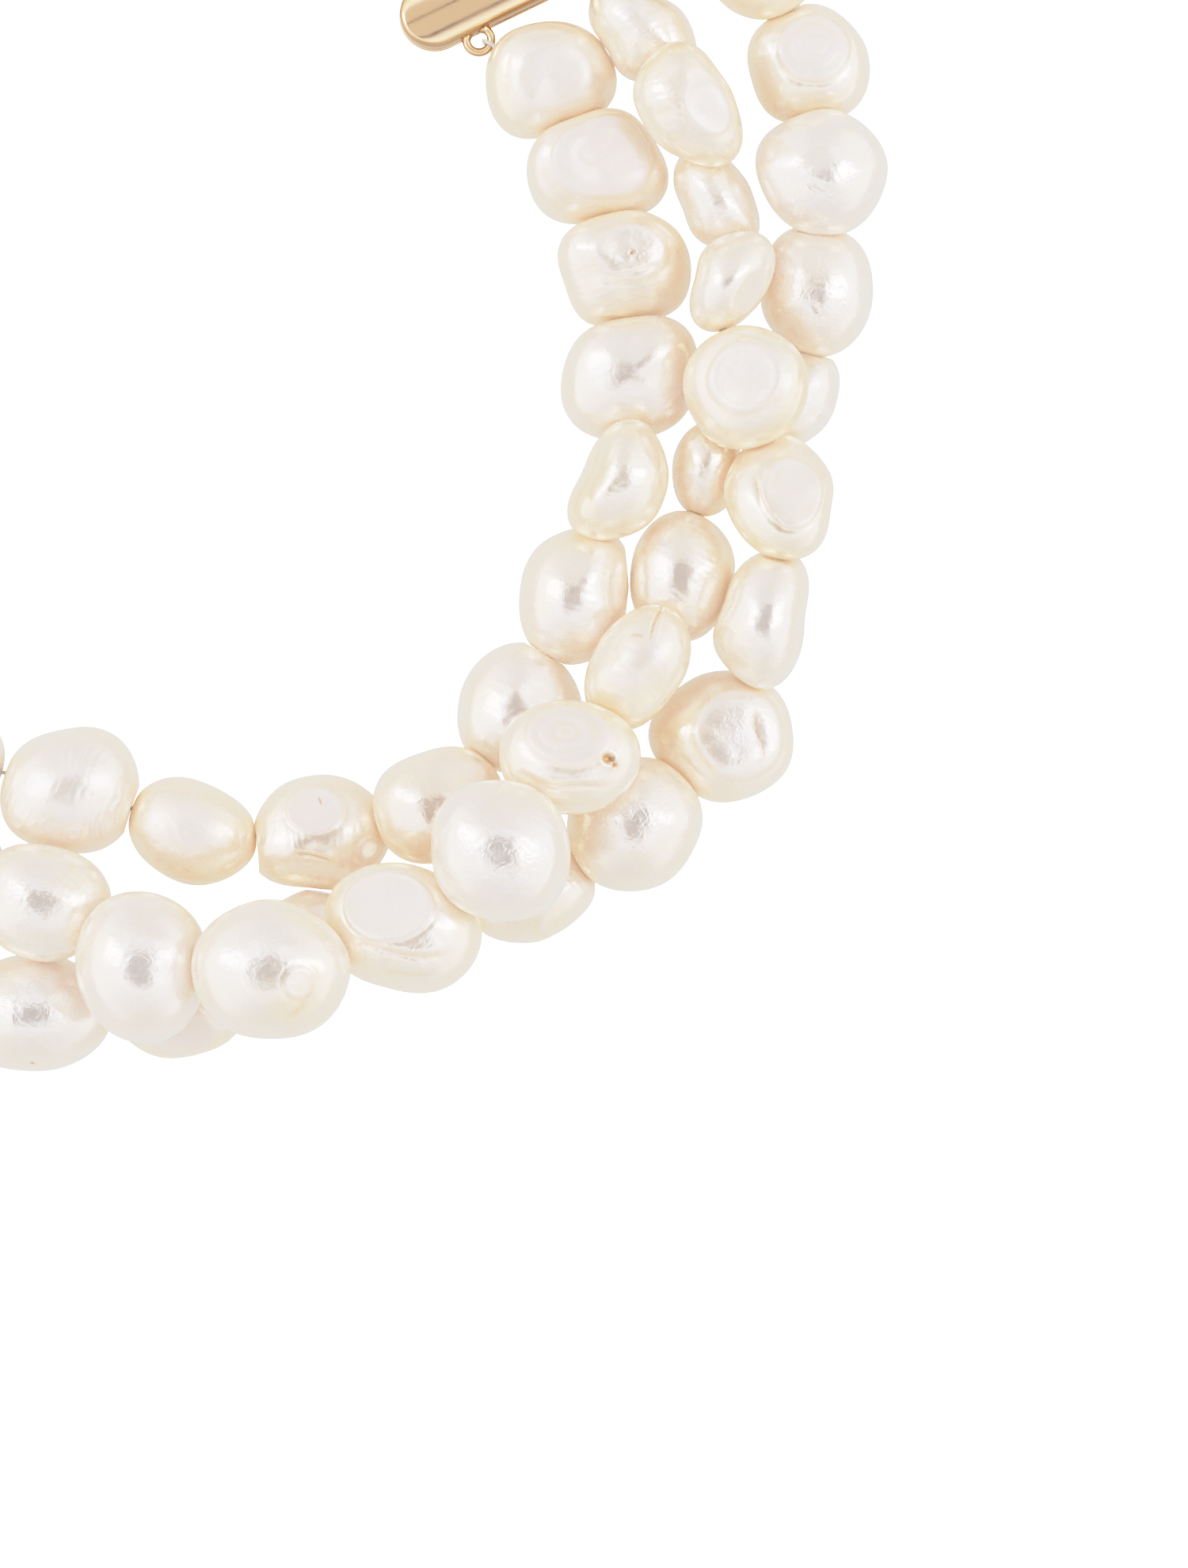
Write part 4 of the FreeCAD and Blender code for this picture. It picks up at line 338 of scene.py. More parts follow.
MIDDLE_NOTES = {
    1: [("folds", -60, 60, 50, 0.010), ("grey", 150, 80, 22, 0.5),
        ("crease", 40, 50, -60, 30, 5, 0.014, 0.03), ("cream", 70, 20, 30, 0.5)],
    2: [("flat", -5, 66, 0.885, 0.02), ("ridge", -5, 66, 27, 3.2, 0.012),
        ("pale", -5, 66, 28, 0.9), ("crease", -110, 70, -150, 45, 3.2, 0.012, 0.04),
        ("cream", 120, 20, 40, 0.6), ("ridge", -140, 55, 16, 4, 0.006)],
    3: [("folds", 120, 60, 45, 0.006), ("grey", 200, 65, 22, 0.5),
        ("crease", 80, 30, 10, 60, 5, 0.010, 0.0), ("cream", 60, 15, 30, 0.4)],
    4: [("flat", -30, 45, 0.90, 0.04), ("folds", 140, 50, 50, 0.006),
        ("grey", 200, 65, 24, 0.4), ("cream", -90, 20, 40, 0.4)],
    5: [("flat", 140, 78, 0.86, 0.02), ("ridge", 140, 78, 33, 4, 0.012),
        ("ridge", 150, 74, 48, 5, 0.006), ("pale", 140, 78, 34, 0.8),
        ("crease", 20, 32, -70, 30, 4, 0.020, 0.14),
        ("crease", 40, 22, -50, 18, 4, 0.014, 0.10), ("cream", -20, 25, 50, 0.7)],
    6: [("grey", 190, 70, 24, 0.5), ("ridge", -120, 40, 30, 6, 0.006), ("cream", 0, 30, 50, 0.6)],
    7: [("grey", 170, 80, 20, 0.5), ("folds", 60, 70, 50, 0.003), ("cream", 0, 10, 40, 0.5)],
    8: [("crease", 72, 2, 62, 66, 2.6, 0.045, 0.55),
        ("crease", 118, 56, 90, 66, 4.0, 0.010, 0.45),
        ("crease", 160, 55, 200, 70, 4, 0.008, 0.05), ("flat", -60, 50, 0.93, 0.06),
        ("flat", 150, 45, 0.94, 0.06), ("pale", 0, 88, 40, 0.55), ("cream", 0, 85, 60, 0.35),
        ("cream", -90, 30, 50, 0.4)],
    9: [("flat", 95, 61, 0.90, 0.05), ("ridge", 95, 61, 6, 2.4, 0.007),
        ("ridge", 95, 61, 18, 3.2, 0.008), ("ridge", 95, 61, 34, 4, 0.012),
        ("pit", -2, 57, 6.0, 0.06), ("pit", -12, 50, 3.4, 0.03),
        ("crease", 203, 40, -42, 44, 3.6, 0.024, 0.10),
        ("crease", 215, 28, -60, 28, 4, 0.014, 0.03), ("pale", 95, 66, 40, 0.5),
        ("cream", 95, 61, 16, 0.6), ("cream", 60, 20, 40, 0.5)],
    10: [("folds", -60, 60, 80, 0.011), ("grey", 190, 80, 22, 0.7),
         ("flat", 60, 40, 0.95, 0.10), ("crease", -60, 30, 20, 25, 5, 0.010, 0.0)],
    11: [("flat", 114, 62, 0.845, 0.006), ("ridge", 114, 62, 33, 2.0, 0.012),
         ("pale", 114, 62, 33, 1.0), ("crease", 205, 45, -30, 48, 4, 0.022, 0.12),
         ("crease", 250, 42, -60, 40, 4, 0.014, 0.08), ("folds", -90, 45, 45, 0.010),
         ("cream", 170, 20, 35, 0.7), ("cream", 20, 20, 35, 0.6)],
    12: [("ridge", -22, 65, 11, 2.2, 0.009), ("crease", 15, 48, -75, 45, 6, 0.008, 0.22),
         ("flat", -60, 40, 0.95, 0.08), ("cream", -40, 50, 34, 0.7),
         ("grey", 140, 75, 24, 0.4), ("folds", 120, 60, 45, 0.007)],
    13: [("grey", 60, 80, 24, 0.6), ("folds", 60, 65, 45, 0.006)],
    14: [("folds", 170, 60, 70, 0.009), ("grey", -140, 80, 26, 0.4),
         ("crease", 20, 40, 60, 40, 4, 0.006, 0.0), ("crease", 15, 50, 65, 52, 4, 0.006, 0.0)],
    15: [("folds", 0, 70, 60, 0.006)],
}
OUTER_NOTES = {
    1: [("folds", 0, 70, 60, 0.004), ("cream", -90, 30, 40, 0.5)],
    2: [("ridge", 70, 74, 7, 2.8, 0.010), ("ridge", 75, 75, 17, 3.4, 0.010),
        ("ridge", 80, 74, 31, 4, 0.013), ("pale", 80, 74, 32, 0.9),
        ("crease", -30, 40, -100, 40, 4, 0.008, 0.06), ("cream", -110, 20, 50, 0.8)],
    3: [("folds", -105, 66, 48, 0.022), ("crease", -150, 60, -60, 58, 5, 0.010, 0.0),
        ("grey", -100, 70, 26, 0.5), ("flat", 150, 45, 0.95, 0.06), ("flat", 30, 50, 0.96, 0.06)],
    4: [("folds", -95, 76, 55, 0.012), ("crease", -70, 60, -110, 76, 4, 0.012, 0.0),
        ("grey", -60, 80, 22, 0.4), ("cream", 200, 15, 45, 0.8)],
    5: [("folds", 0, 50, 50, 0.004), ("ridge", 10, 40, 26, 6, 0.006)],
    6: [("flat", 65, 75, 0.875, 0.02), ("ridge", 65, 75, 31, 3.2, 0.012),
        ("pale", 65, 75, 31, 0.8), ("crease", 142, 48, 252, 64, 2.6, 0.020, 0.50),
        ("crease", 150, 58, 245, 76, 3, 0.010, 0.18), ("cream", -120, 25, 45, 0.6)],
    7: [("grey", 90, 84, 22, 0.6), ("flat", 190, 50, 0.95, 0.06), ("folds", 60, 60, 50, 0.004)],
    8: [("flat", 15, 78, 0.89, 0.07), ("folds", 10, 76, 46, 0.007),
        ("ridge", 15, 77, 38, 5, 0.010), ("grey", 10, 78, 30, 0.9), ("pale", 10, 78, 30, 0.35),
        ("crease", 52, 54, -42, 52, 5.0, 0.020, 0.55), ("cream", 180, 30, 50, 0.7),
        ("crease", 160, 50, 190, 34, 5, 0.008, 0.04)],
    9: [("folds", 110, 74, 60, 0.014), ("grey", 120, 80, 26, 0.4),
        ("crease", 165, 14, 130, 40, 6, 0.008, 0.0), ("cream", 190, 20, 40, 0.7)],
    10: [("folds", -90, 60, 60, 0.008), ("cream", -60, 50, 34, 0.5),
         ("ridge", -30, 30, 34, 5, 0.006)],
    11: [("cream", 0, 40, 40, 0.6)],
    12: [("folds", 90, 40, 50, 0.006), ("grey", 90, 40, 30, 0.3)],
    13: [("flat", -80, 50, 0.90, 0.03), ("pale", -80, 50, 30, 0.9),
         ("ridge", -80, 50, 26, 3, 0.010)],
    14: [("folds", 110, 66, 60, 0.012), ("grey", 160, 80, 24, 0.6), ("pit", -90, 36, 2.0, 0.008)],
}
NOTES = {"inner": INNER_NOTES, "middle": MIDDLE_NOTES, "outer": OUTER_NOTES}

# How warm the first pearls of each strand are, 0 a cool white and 1 a rich cream
WARMTH = {
    "inner": (0.8, 0.7, 0.7, 0.45, 0.8, 0.6, 0.4, 0.85, 0.8, 0.95, 0.35, 0.5),
    "middle": (0.6, 0.8, 0.4, 0.4, 0.8, 0.9, 0.75, 0.8, 0.8, 0.12, 0.6, 0.35, 0.25, 0.35, 0.8),
    "outer": (0.7, 0.7, 0.12, 0.35, 0.2, 0.9, 0.4, 0.7, 0.55, 0.5, 0.4, 0.4, 0.8, 0.2),
}
SEEDS = {"inner": 100, "middle": 300, "outer": 500}  # the place in the strand is added
GROWTH = {("inner", 11): 1.0, ("outer", 10): 0.8}    # pearls with strong growth lines

# Room kept to a neighbour in the same segment and to any other; gaps that close a little
# when the rows give way need more.
SPARE_SAME, SPARE_OTHER = 0.03, 0.09
SPARE_WIDE = {
    frozenset((("inner", 12), ("inner", 13))): 0.30,
    frozenset((("middle", 38), ("middle", 39))): 0.28,
    frozenset((("middle", 21), ("middle", 22))): 0.28,
    frozenset((("middle", 16), ("outer", 16))): 0.42,
}
HOLE_RADIUS = 0.42
BORE_DEPTH = 1.3
LOWEST = 0.02       # no pearl reaches below this height
# Bore walls get stain and cream, painted shade that darkens the inside of the short blind bores.
BORE_MARKS = {"stain": 0.5, "pale": 0, "cream": 0.6, "grey": 0, "wrinkle": 0}

Pearl = namedtuple("Pearl", "strand place segment centre half_axes rotation form hole_in hole_out")


def list_pearls():
    """Every pearl in strand order; form is the matrix of the ellipsoid x.form.x = 1."""
    pearls = []
    for strand, counts in SEGMENT_COUNTS.items():
        segments = [name for name, count in zip(SEGMENTS, counts) for _ in range(count)]
        holes = HOLES[strand]
        for i, (segment, row) in enumerate(zip(segments, PEARL_ROWS[strand])):
            half_axes, quat = row[3:6], row[6:]
            turn = np.array(Quaternion((quat[3], quat[0], quat[1], quat[2])).to_matrix())
            form = turn @ np.diag(1 / half_axes ** 2) @ turn.T
            pearls.append(Pearl(strand, i + 1, segment, row[:3], half_axes, turn, form,
                                holes[i], holes[i + 1]))
    return pearls


PEARLS = list_pearls()


# ---------------------------------------------------------------- mesh helpers
def unit(vector):
    return vector / np.linalg.norm(vector)


def new_mesh(name, verts, faces, material, smooth=True, attrs=None):
    mesh = bpy.data.meshes.new(name)
    mesh.from_pydata([tuple(v) for v in verts], [], faces)
    mesh.update()
    if smooth:
        mesh.polygons.foreach_set("use_smooth", [True] * len(mesh.polygons))
    for key, values in (attrs or {}).items():
        values = np.asarray(values, dtype=np.float32)
        vector = values.ndim == 2
        attribute = mesh.attributes.new(key, "FLOAT_VECTOR" if vector else "FLOAT", "POINT")
        attribute.data.foreach_set("vector" if vector else "value", values.ravel())
    mesh.materials.append(material)
    ob = bpy.data.objects.new(name, mesh)
    bpy.context.scene.collection.objects.link(ob)
    return ob


def register(ob, body, replaces=None):
    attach(ob, body)
    if replaces:
        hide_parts(replaces)


def ring_quads(count, size, closed=False, reverse=False):
    """Quads between neighbouring rings of points, the last joined to the first if closed."""
    quads = []
    for i in range(count if closed else count - 1):
        here, there = i * size, (i + 1) % count * size
        for j in range(size):
            k = (j + 1) % size
            if reverse:
                quads.append((here + j, there + j, there + k, here + k))
            else:
                quads.append((here + j, here + k, there + k, there + j))
    return quads


def swept_faces(count, size, reverse=False):
    """Ring quads with a cap at each end."""
    first = tuple(range(size))[::-1]
    last = tuple(range((count - 1) * size, count * size))
    caps = [first[::-1], last[::-1]] if reverse else [first, last]
    return ring_quads(count, size, reverse=reverse) + caps


# ---------------------------------------------------------------- pearl shapes
def heading(azimuth, elevation):
    a, e = math.radians(azimuth), math.radians(elevation)
    return np.array([math.cos(a) * math.cos(e), math.sin(a) * math.cos(e), math.sin(e)])


def bell(x):
    return np.exp(-(x**2))


def angle_to(directions, pole):
    return np.arccos(np.clip(directions @ pole, -1, 1))


def waves(points, rng, freq, count=7, spread=0.5):
    """Smooth random field in about -1..1 from a few plane waves."""
    total = np.zeros(len(points))
    for _ in range(count):
        wave = rng.normal(size=3)
        wave *= freq * (1 + spread * rng.uniform(-1, 1)) / np.linalg.norm(wave)
        total += np.cos(points @ wave + rng.uniform(0, 2 * math.pi))
    return total / math.sqrt(count)


def crumple(points, rng, freq):
    """Sharper folded field for wrinkled nacre."""
    shift = np.stack([waves(points, rng, freq * 0.5, 5) for _ in range(3)], 1)
    shifted = points + shift * (0.55 / freq) * 2.2
    broad = 1 - np.abs(waves(shifted, rng, freq, 6)) * 1.6
    fine = 1 - np.abs(waves(shifted, rng, freq * 1.9, 6)) * 1.6
    return 0.65 * broad + 0.35 * fine


def sphere_grid(around, rings, gap):
    """Directions on rings from the first pole to the second, leaving both holes open."""
    polar = np.linspace(gap, math.pi - gap, rings)
    turn = np.linspace(0, 2 * math.pi, around, endpoint=False)
    P, T = np.meshgrid(polar, turn, indexing="ij")
    return np.stack([np.sin(P) * np.cos(T), np.sin(P) * np.sin(T), np.cos(P)], -1).reshape(-1, 3)


def outline_swell(pearl, directions, rng):
    """Swelling of the outline seen from above, fading towards top and bottom."""
    terms = OUTLINES.get((pearl.strand, pearl.place))
    if terms is None:
        terms = [0.0]
        for spread in (0.012, 0.030, 0.016, 0.008):
            terms += list(rng.normal(size=2) * spread)
    azimuth = np.arctan2(directions[:, 1], directions[:, 0])
    level = np.sqrt(directions[:, 0] ** 2 + directions[:, 1] ** 2) ** 1.6
    swell = np.full(len(directions), terms[0])
    for n in range(1, (len(terms) + 1) // 2):
        swell += terms[2 * n - 1] * np.cos(n * azimuth) + terms[2 * n] * np.sin(n * azimuth)
    return swell * level


def random_notes(rng):
    """Shape notes for a pearl that has none of its own."""
    def draw(*limits):
        return rng.uniform(*limits)

    notes = []
    for _ in range(rng.integers(1, 4)):
        notes.append(("flat", draw(0, 360), draw(-20, 80), draw(0.90, 0.96), draw(0.02, 0.1)))
    if rng.random() < 0.45:
        aim = draw(0, 360), draw(50, 88)
        notes += [("flat", *aim, 0.92, 0.02), ("ridge", *aim, 24, 3, 0.01), ("pale", *aim, 28, 0.9)]
    if rng.random() < 0.5:
        azimuth = draw(0, 360)
        notes.append(("crease", azimuth, draw(20, 70), azimuth + draw(40, 110), draw(20, 70),
                      3.5, 0.014, draw(0, 0.4)))
    notes.append(("folds", draw(0, 360), draw(10, 80), draw(40, 70), draw(0.003, 0.010)))
    # cream patch: partly the pearl's own tint, mostly painted warm shade
    notes.append(("cream", draw(0, 360), draw(0, 60), 45, draw(0.2, 0.8)))
    return notes


def apply_notes(notes, directions, ball, rng, lift, marks):
    """Add the notes to lift and marks, and return the share of each reach left by flats.

    ball holds the directions on the equivalent unit ball, so that notes sit where seen.
    """
    reach = np.ones(len(ball))
    for kind, azimuth, elevation, *sizes in notes:
        aim = heading(azimuth, elevation)
        if kind == "flat":
            limit, soft = sizes
            along = (ball @ aim) * reach
            over = along - limit
            eased = np.where(over < -soft, along, along - (over + soft) ** 2 / (4 * soft))
            cut = np.where(over > soft, limit, eased)
            facing = along > 0.05
            reach = np.where(facing, reach * cut / np.where(facing, along, 1), reach)
            continue
        angle = np.degrees(angle_to(ball, aim))
        if kind == "ridge":
            radius, width, height = sizes
            z = (angle - radius * (1 + 0.07 * waves(directions, rng, 3.0))) / width
            lift += 1.6 * height * (bell(z) - 0.7 * bell(z - 1.7))
            marks["pale"] += 0.35 * bell(z)
            # painted shade: a cream ring just outside the ridge
            marks["cream"] += 0.35 * bell(z - 1.8)
        elif kind == "pit":
            radius, depth = sizes
            inside = np.clip(1 - angle / radius, 0, 1)
            lift -= depth * np.sqrt(inside)
            lift += 0.15 * depth * bell((angle - radius * 1.3) / (0.5 * radius))
            marks["stain"] += np.clip(1.4 * inside + 0.35 * bell(angle / (radius * 1.5)), 0, 1)
        elif kind == "crease":
            end_azimuth, end_elevation, width, depth, stain = sizes
            end = heading(end_azimuth, end_elevation)
            across = ball @ unit(np.cross(aim, end))
            off = np.degrees(np.arcsin(np.clip(across, -1, 1)))
            off += 2.2 * waves(directions, rng, 5.0)
            span = math.degrees(math.acos(max(-1, min(1, aim @ end)))) / 2
            along = np.degrees(angle_to(ball, unit(aim + end)))
            fade = np.clip((span * 1.15 - along) / (span * 0.45), 0, 1)
            z = off / width
            lift -= depth * fade * (bell(z) - 0.5 * bell(z - 1.8))
            marks["stain"] += stain * fade * bell(z / 0.55)
            # painted shade: cream along and beside the crease
            marks["cream"] += 0.4 * fade * bell(z / 1.8)
        elif kind == "folds":
            radius, height = sizes
            fade = np.clip(1.2 - angle / radius, 0, 1) ** 0.7
            lift += 0.45 * height * fade * (crumple(directions, rng, 4.4) - 0.6)
            marks["wrinkle"] += fade * min(1.0, height / 0.010)
        else:
            radius, strength = sizes
            # cream patches here are mostly painted warm shade where a pearl faces its neighbours
            # grey patches here are a painted dark reflection of the camera overhead
            marks[kind] += strength * np.exp(-((angle / radius) ** 4))
    return reach


def neighbours(pearl):
    """Centre, ellipsoid form and room to keep, for each pearl close by."""
    found = []
    for other in PEARLS:
        if other is pearl:
            continue
        apart = np.linalg.norm(pearl.centre - other.centre)
        if apart < max(pearl.half_axes) + max(other.half_axes) + 1.0:
            pair = frozenset(((pearl.strand, pearl.place), (other.strand, other.place)))
            same = pearl.strand == other.strand and pearl.segment == other.segment
            spare = SPARE_WIDE.get(pair, SPARE_SAME if same else SPARE_OTHER)
            found.append((other.centre, other.form, spare))
    return found


def keep_clear(pearl, directions, radius, plain_radius):
    """Draw the surface in, by bisection, where it comes too close to a neighbour."""
    for centre, form, spare in neighbours(pearl):

        def room(trial, chosen):
            x = pearl.centre + directions[chosen] * trial[:, None] - centre
            scale = np.sqrt(np.einsum("ij,jk,ik->i", x, form, x))
            bulge = np.maximum(trial - plain_radius[chosen], 0)
            return np.linalg.norm(x, axis=1) * (1 - 1 / scale) - bulge - spare

        tight = np.nonzero(room(radius, slice(None)) < 0)[0]
        if len(tight):
            low = np.minimum(radius[tight], plain_radius[tight]) - 0.25
            high = radius[tight].copy()
            for _ in range(14):
                middle = (low + high) / 2
                clear = room(middle, tight) >= 0
                low = np.where(clear, middle, low)
                high = np.where(clear, high, middle)
            radius[tight] = low


def add_bores(points, faces, around, bore):
    """Close both ends with short blind bores, so that the drill holes read as holes."""
    parts = [points]
    total = len(points)
    for start, way, far_end in ((0, bore, False), (total - around, -bore, True)):
        rim = np.arange(start, start + around)
        ring = points[rim] + way * BORE_DEPTH
        middle = ring.mean(0)
        parts += [middle + (ring - middle) * 0.97, middle[None]]
        hub = total + around
        for j in range(around):
            k = (j + 1) % around
            a, b = start + j, start + k
            if far_end:
                faces.append((a, total + j, total + k, b))
            else:
                faces.append((a, b, total + k, total + j))
        for j in range(around):
            a, b = total + j, total + (j + 1) % around
            faces.append((a, hub, b) if far_end else (b, hub, a))
        total = hub + 1
    return np.concatenate(parts)


def make_pearl(pearl, material):
    strand, place = pearl.strand, pearl.place
    seed = SEEDS[strand] + place
    rng = np.random.default_rng(seed)
    around, rings = FINE_GRID if pearl.segment == DETAILED_SEGMENT else COARSE_GRID
    gap = HOLE_RADIUS / float(np.prod(pearl.half_axes)) ** (1 / 3)

    # grid of directions, its poles bent onto the two hole ends
    pole_in = unit(pearl.hole_in - pearl.centre)
    pole_out = unit(pearl.hole_out - pearl.centre)
    drill = unit(pole_in - pole_out)
    side = unit(np.cross(drill, [0, 0, 1.0]))
    up = np.cross(side, drill)
    grid = sphere_grid(around, rings, gap)
    directions = grid[:, 0:1] * side + grid[:, 1:2] * up + grid[:, 2:3] * drill
    near_in = ((1 + grid[:, 2:3]) / 2) ** 2
    near_out = ((1 - grid[:, 2:3]) / 2) ** 2
    directions = directions + near_in * (pole_in - drill) + near_out * (pole_out + drill)
    directions /= np.linalg.norm(directions, axis=1)[:, None]

    # plain ellipsoid, and the same points on the unit ball
    plain_radius = 1 / np.sqrt(np.einsum("ij,jk,ik->i", directions, pearl.form, directions))
    root = pearl.rotation @ np.diag(1 / pearl.half_axes) @ pearl.rotation.T
    ball = (directions * plain_radius[:, None]) @ root
    ball /= np.linalg.norm(ball, axis=1)[:, None]

    radius = plain_radius * (1 + outline_swell(pearl, directions, rng))
    marks = {key: np.zeros(len(directions)) for key in BORE_MARKS}
    notes = NOTES[strand].get(place)
    if notes is None:
        notes = random_notes(rng)
    # overall irregularity, mostly inward
    lift = 0.010 * (waves(directions, rng, 2.2) - 0.9)
    lift += 0.005 * (waves(directions, rng, 4.5) - 0.6)
    lift += 0.0016 * waves(directions, rng, 11.0)
    # faint growth rings round the drill axis
    axis_angle = angle_to(directions, drill)
    rings_wave = axis_angle * rng.uniform(26, 44) + 1.6 * waves(directions, rng, 2.5)
    ring_mask = np.clip(waves(directions, rng, 1.6) * 0.6 + 0.35, 0, 1)
    lift += 0.0012 * np.sin(rings_wave) * ring_mask
    reach = apply_notes(notes, directions, ball, rng, lift, marks)
    # shallow dimple where the silk goes in
    for pole in (pole_in, pole_out):
        angle = angle_to(directions, pole)
        lift -= 0.022 * bell(angle / (2.6 * gap))
        # painted shade: cream round the hole, where the pearl meets its neighbours
        marks["cream"] += 0.8 * bell(angle / (3.5 * gap))
    radius = radius * reach * (1 + lift) + 0.10
    for pole in (pole_in, pole_out):
        radius += 0.26 * bell(angle_to(directions, pole) / 0.65)
    keep_clear(pearl, directions, radius, plain_radius)
    points = pearl.centre + directions * radius[:, None]
    points[:, 2] = np.maximum(points[:, 2], LOWEST)

    faces = ring_quads(rings, around, reverse=True)
    verts = add_bores(points, faces, around, unit(pearl.hole_out - pearl.hole_in))
    total = len(verts)
    bore_count = total - len(points)
    attrs = {key: np.append(np.clip(marks[key], 0, 1), np.full(bore_count, value))
             for key, value in BORE_MARKS.items()}
    attrs["tone"] = np.full(total, rng.random())
    known = WARMTH[strand]
    warm = known[place - 1] if place <= len(known) else 0.15 + 0.8 * rng.random()
    attrs["warm"] = np.full(total, warm)
    attrs["growth"] = np.full(total, GROWTH.get((strand, place), 0.35 * rng.random() ** 2))
    local = np.stack([directions @ side, directions @ up, directions @ drill], 1)
    attrs["local"] = np.concatenate([local, np.zeros((bore_count, 3))]) + seed * 0.37
    attrs["axis"] = np.append(axis_angle, np.zeros(bore_count))
    ob = new_mesh("pearl_%s_%02d" % (strand, place), verts * MM, faces, material, attrs=attrs)
    tag = "%s_%s" % (strand, pearl.segment)
    register(ob, tag, tag + "_pearls")


# ------------------------------------------------------------------- materials
class Graph:
    """Helpers that add shader nodes to a node tree."""

    def __init__(self, tree):
        self.tree = tree
        tree.nodes.clear()

    def add(self, kind):
        return self.tree.nodes.new("ShaderNode" + kind)

    def feed(self, socket, value):
        """Link a socket to an input, or set the input; colours get an alpha of 1."""
        if isinstance(value, tuple):
            socket.default_value = (*value, 1)[:len(socket.default_value)]
        elif isinstance(value, (int, float)):
            socket.default_value = value
        else:
            self.tree.links.new(value, socket)

    def settings(self, node, values):
        for key, value in values.items():
            self.feed(node.inputs[key], value)

    def attribute(self, name, output="Fac"):
        node = self.add("Attribute")
        node.attribute_name = name
        return node.outputs[output]

    def math(self, operation, *values):
        node = self.add("Math")
        node.operation = operation
        for socket, value in zip(node.inputs, values):
            self.feed(socket, value)
        return node.outputs[0]

    def times(self, a, b):
        return self.math("MULTIPLY", a, b)

    def plus(self, a, b):
        return self.math("ADD", a, b)

    def minus(self, a, b):
        return self.math("SUBTRACT", a, b)

    def mix(self, amount, a, b):
        node = self.add("Mix")
        node.data_type = "RGBA"
        for index, value in ((0, amount), (6, a), (7, b)):
            self.feed(node.inputs[index], value)
        return node.outputs[2]

    def ramp(self, amount, stops):
        """Colour ramp through (position, level or colour) stops; a level is one number for all
        three channels.
        """
        node = self.add("ValToRGB")
        elements = node.color_ramp.elements
        while len(elements) < len(stops):
            elements.new(0.5)
        for element, (position, colour) in zip(elements, stops):
            element.position = position
            element.color = (*(colour if isinstance(colour, tuple) else (colour,) * 3), 1)
        self.feed(node.inputs[0], amount)
        return node.outputs[0]

    def noise(self, vector, scale, detail=3, rough=0.5, distort=0.0):
        node = self.add("TexNoise")
        self.settings(node, {"Scale": scale, "Detail": detail, "Roughness": rough,
                             "Distortion": distort, "Vector": vector})
        return node.outputs[0]

    def bump(self, bsdf, height, strength, distance):
        node = self.add("Bump")
        self.settings(node, {"Strength": strength, "Distance": distance, "Height": height})
        self.feed(bsdf.inputs["Normal"], node.outputs[0])


def new_material(name):
    material = bpy.data.materials.new(name)
    material.use_nodes = True
    graph = Graph(material.node_tree)
    output = graph.add("OutputMaterial")
    bsdf = graph.add("BsdfPrincipled")
    graph.feed(output.inputs[0], bsdf.outputs[0])
    return material, graph, bsdf


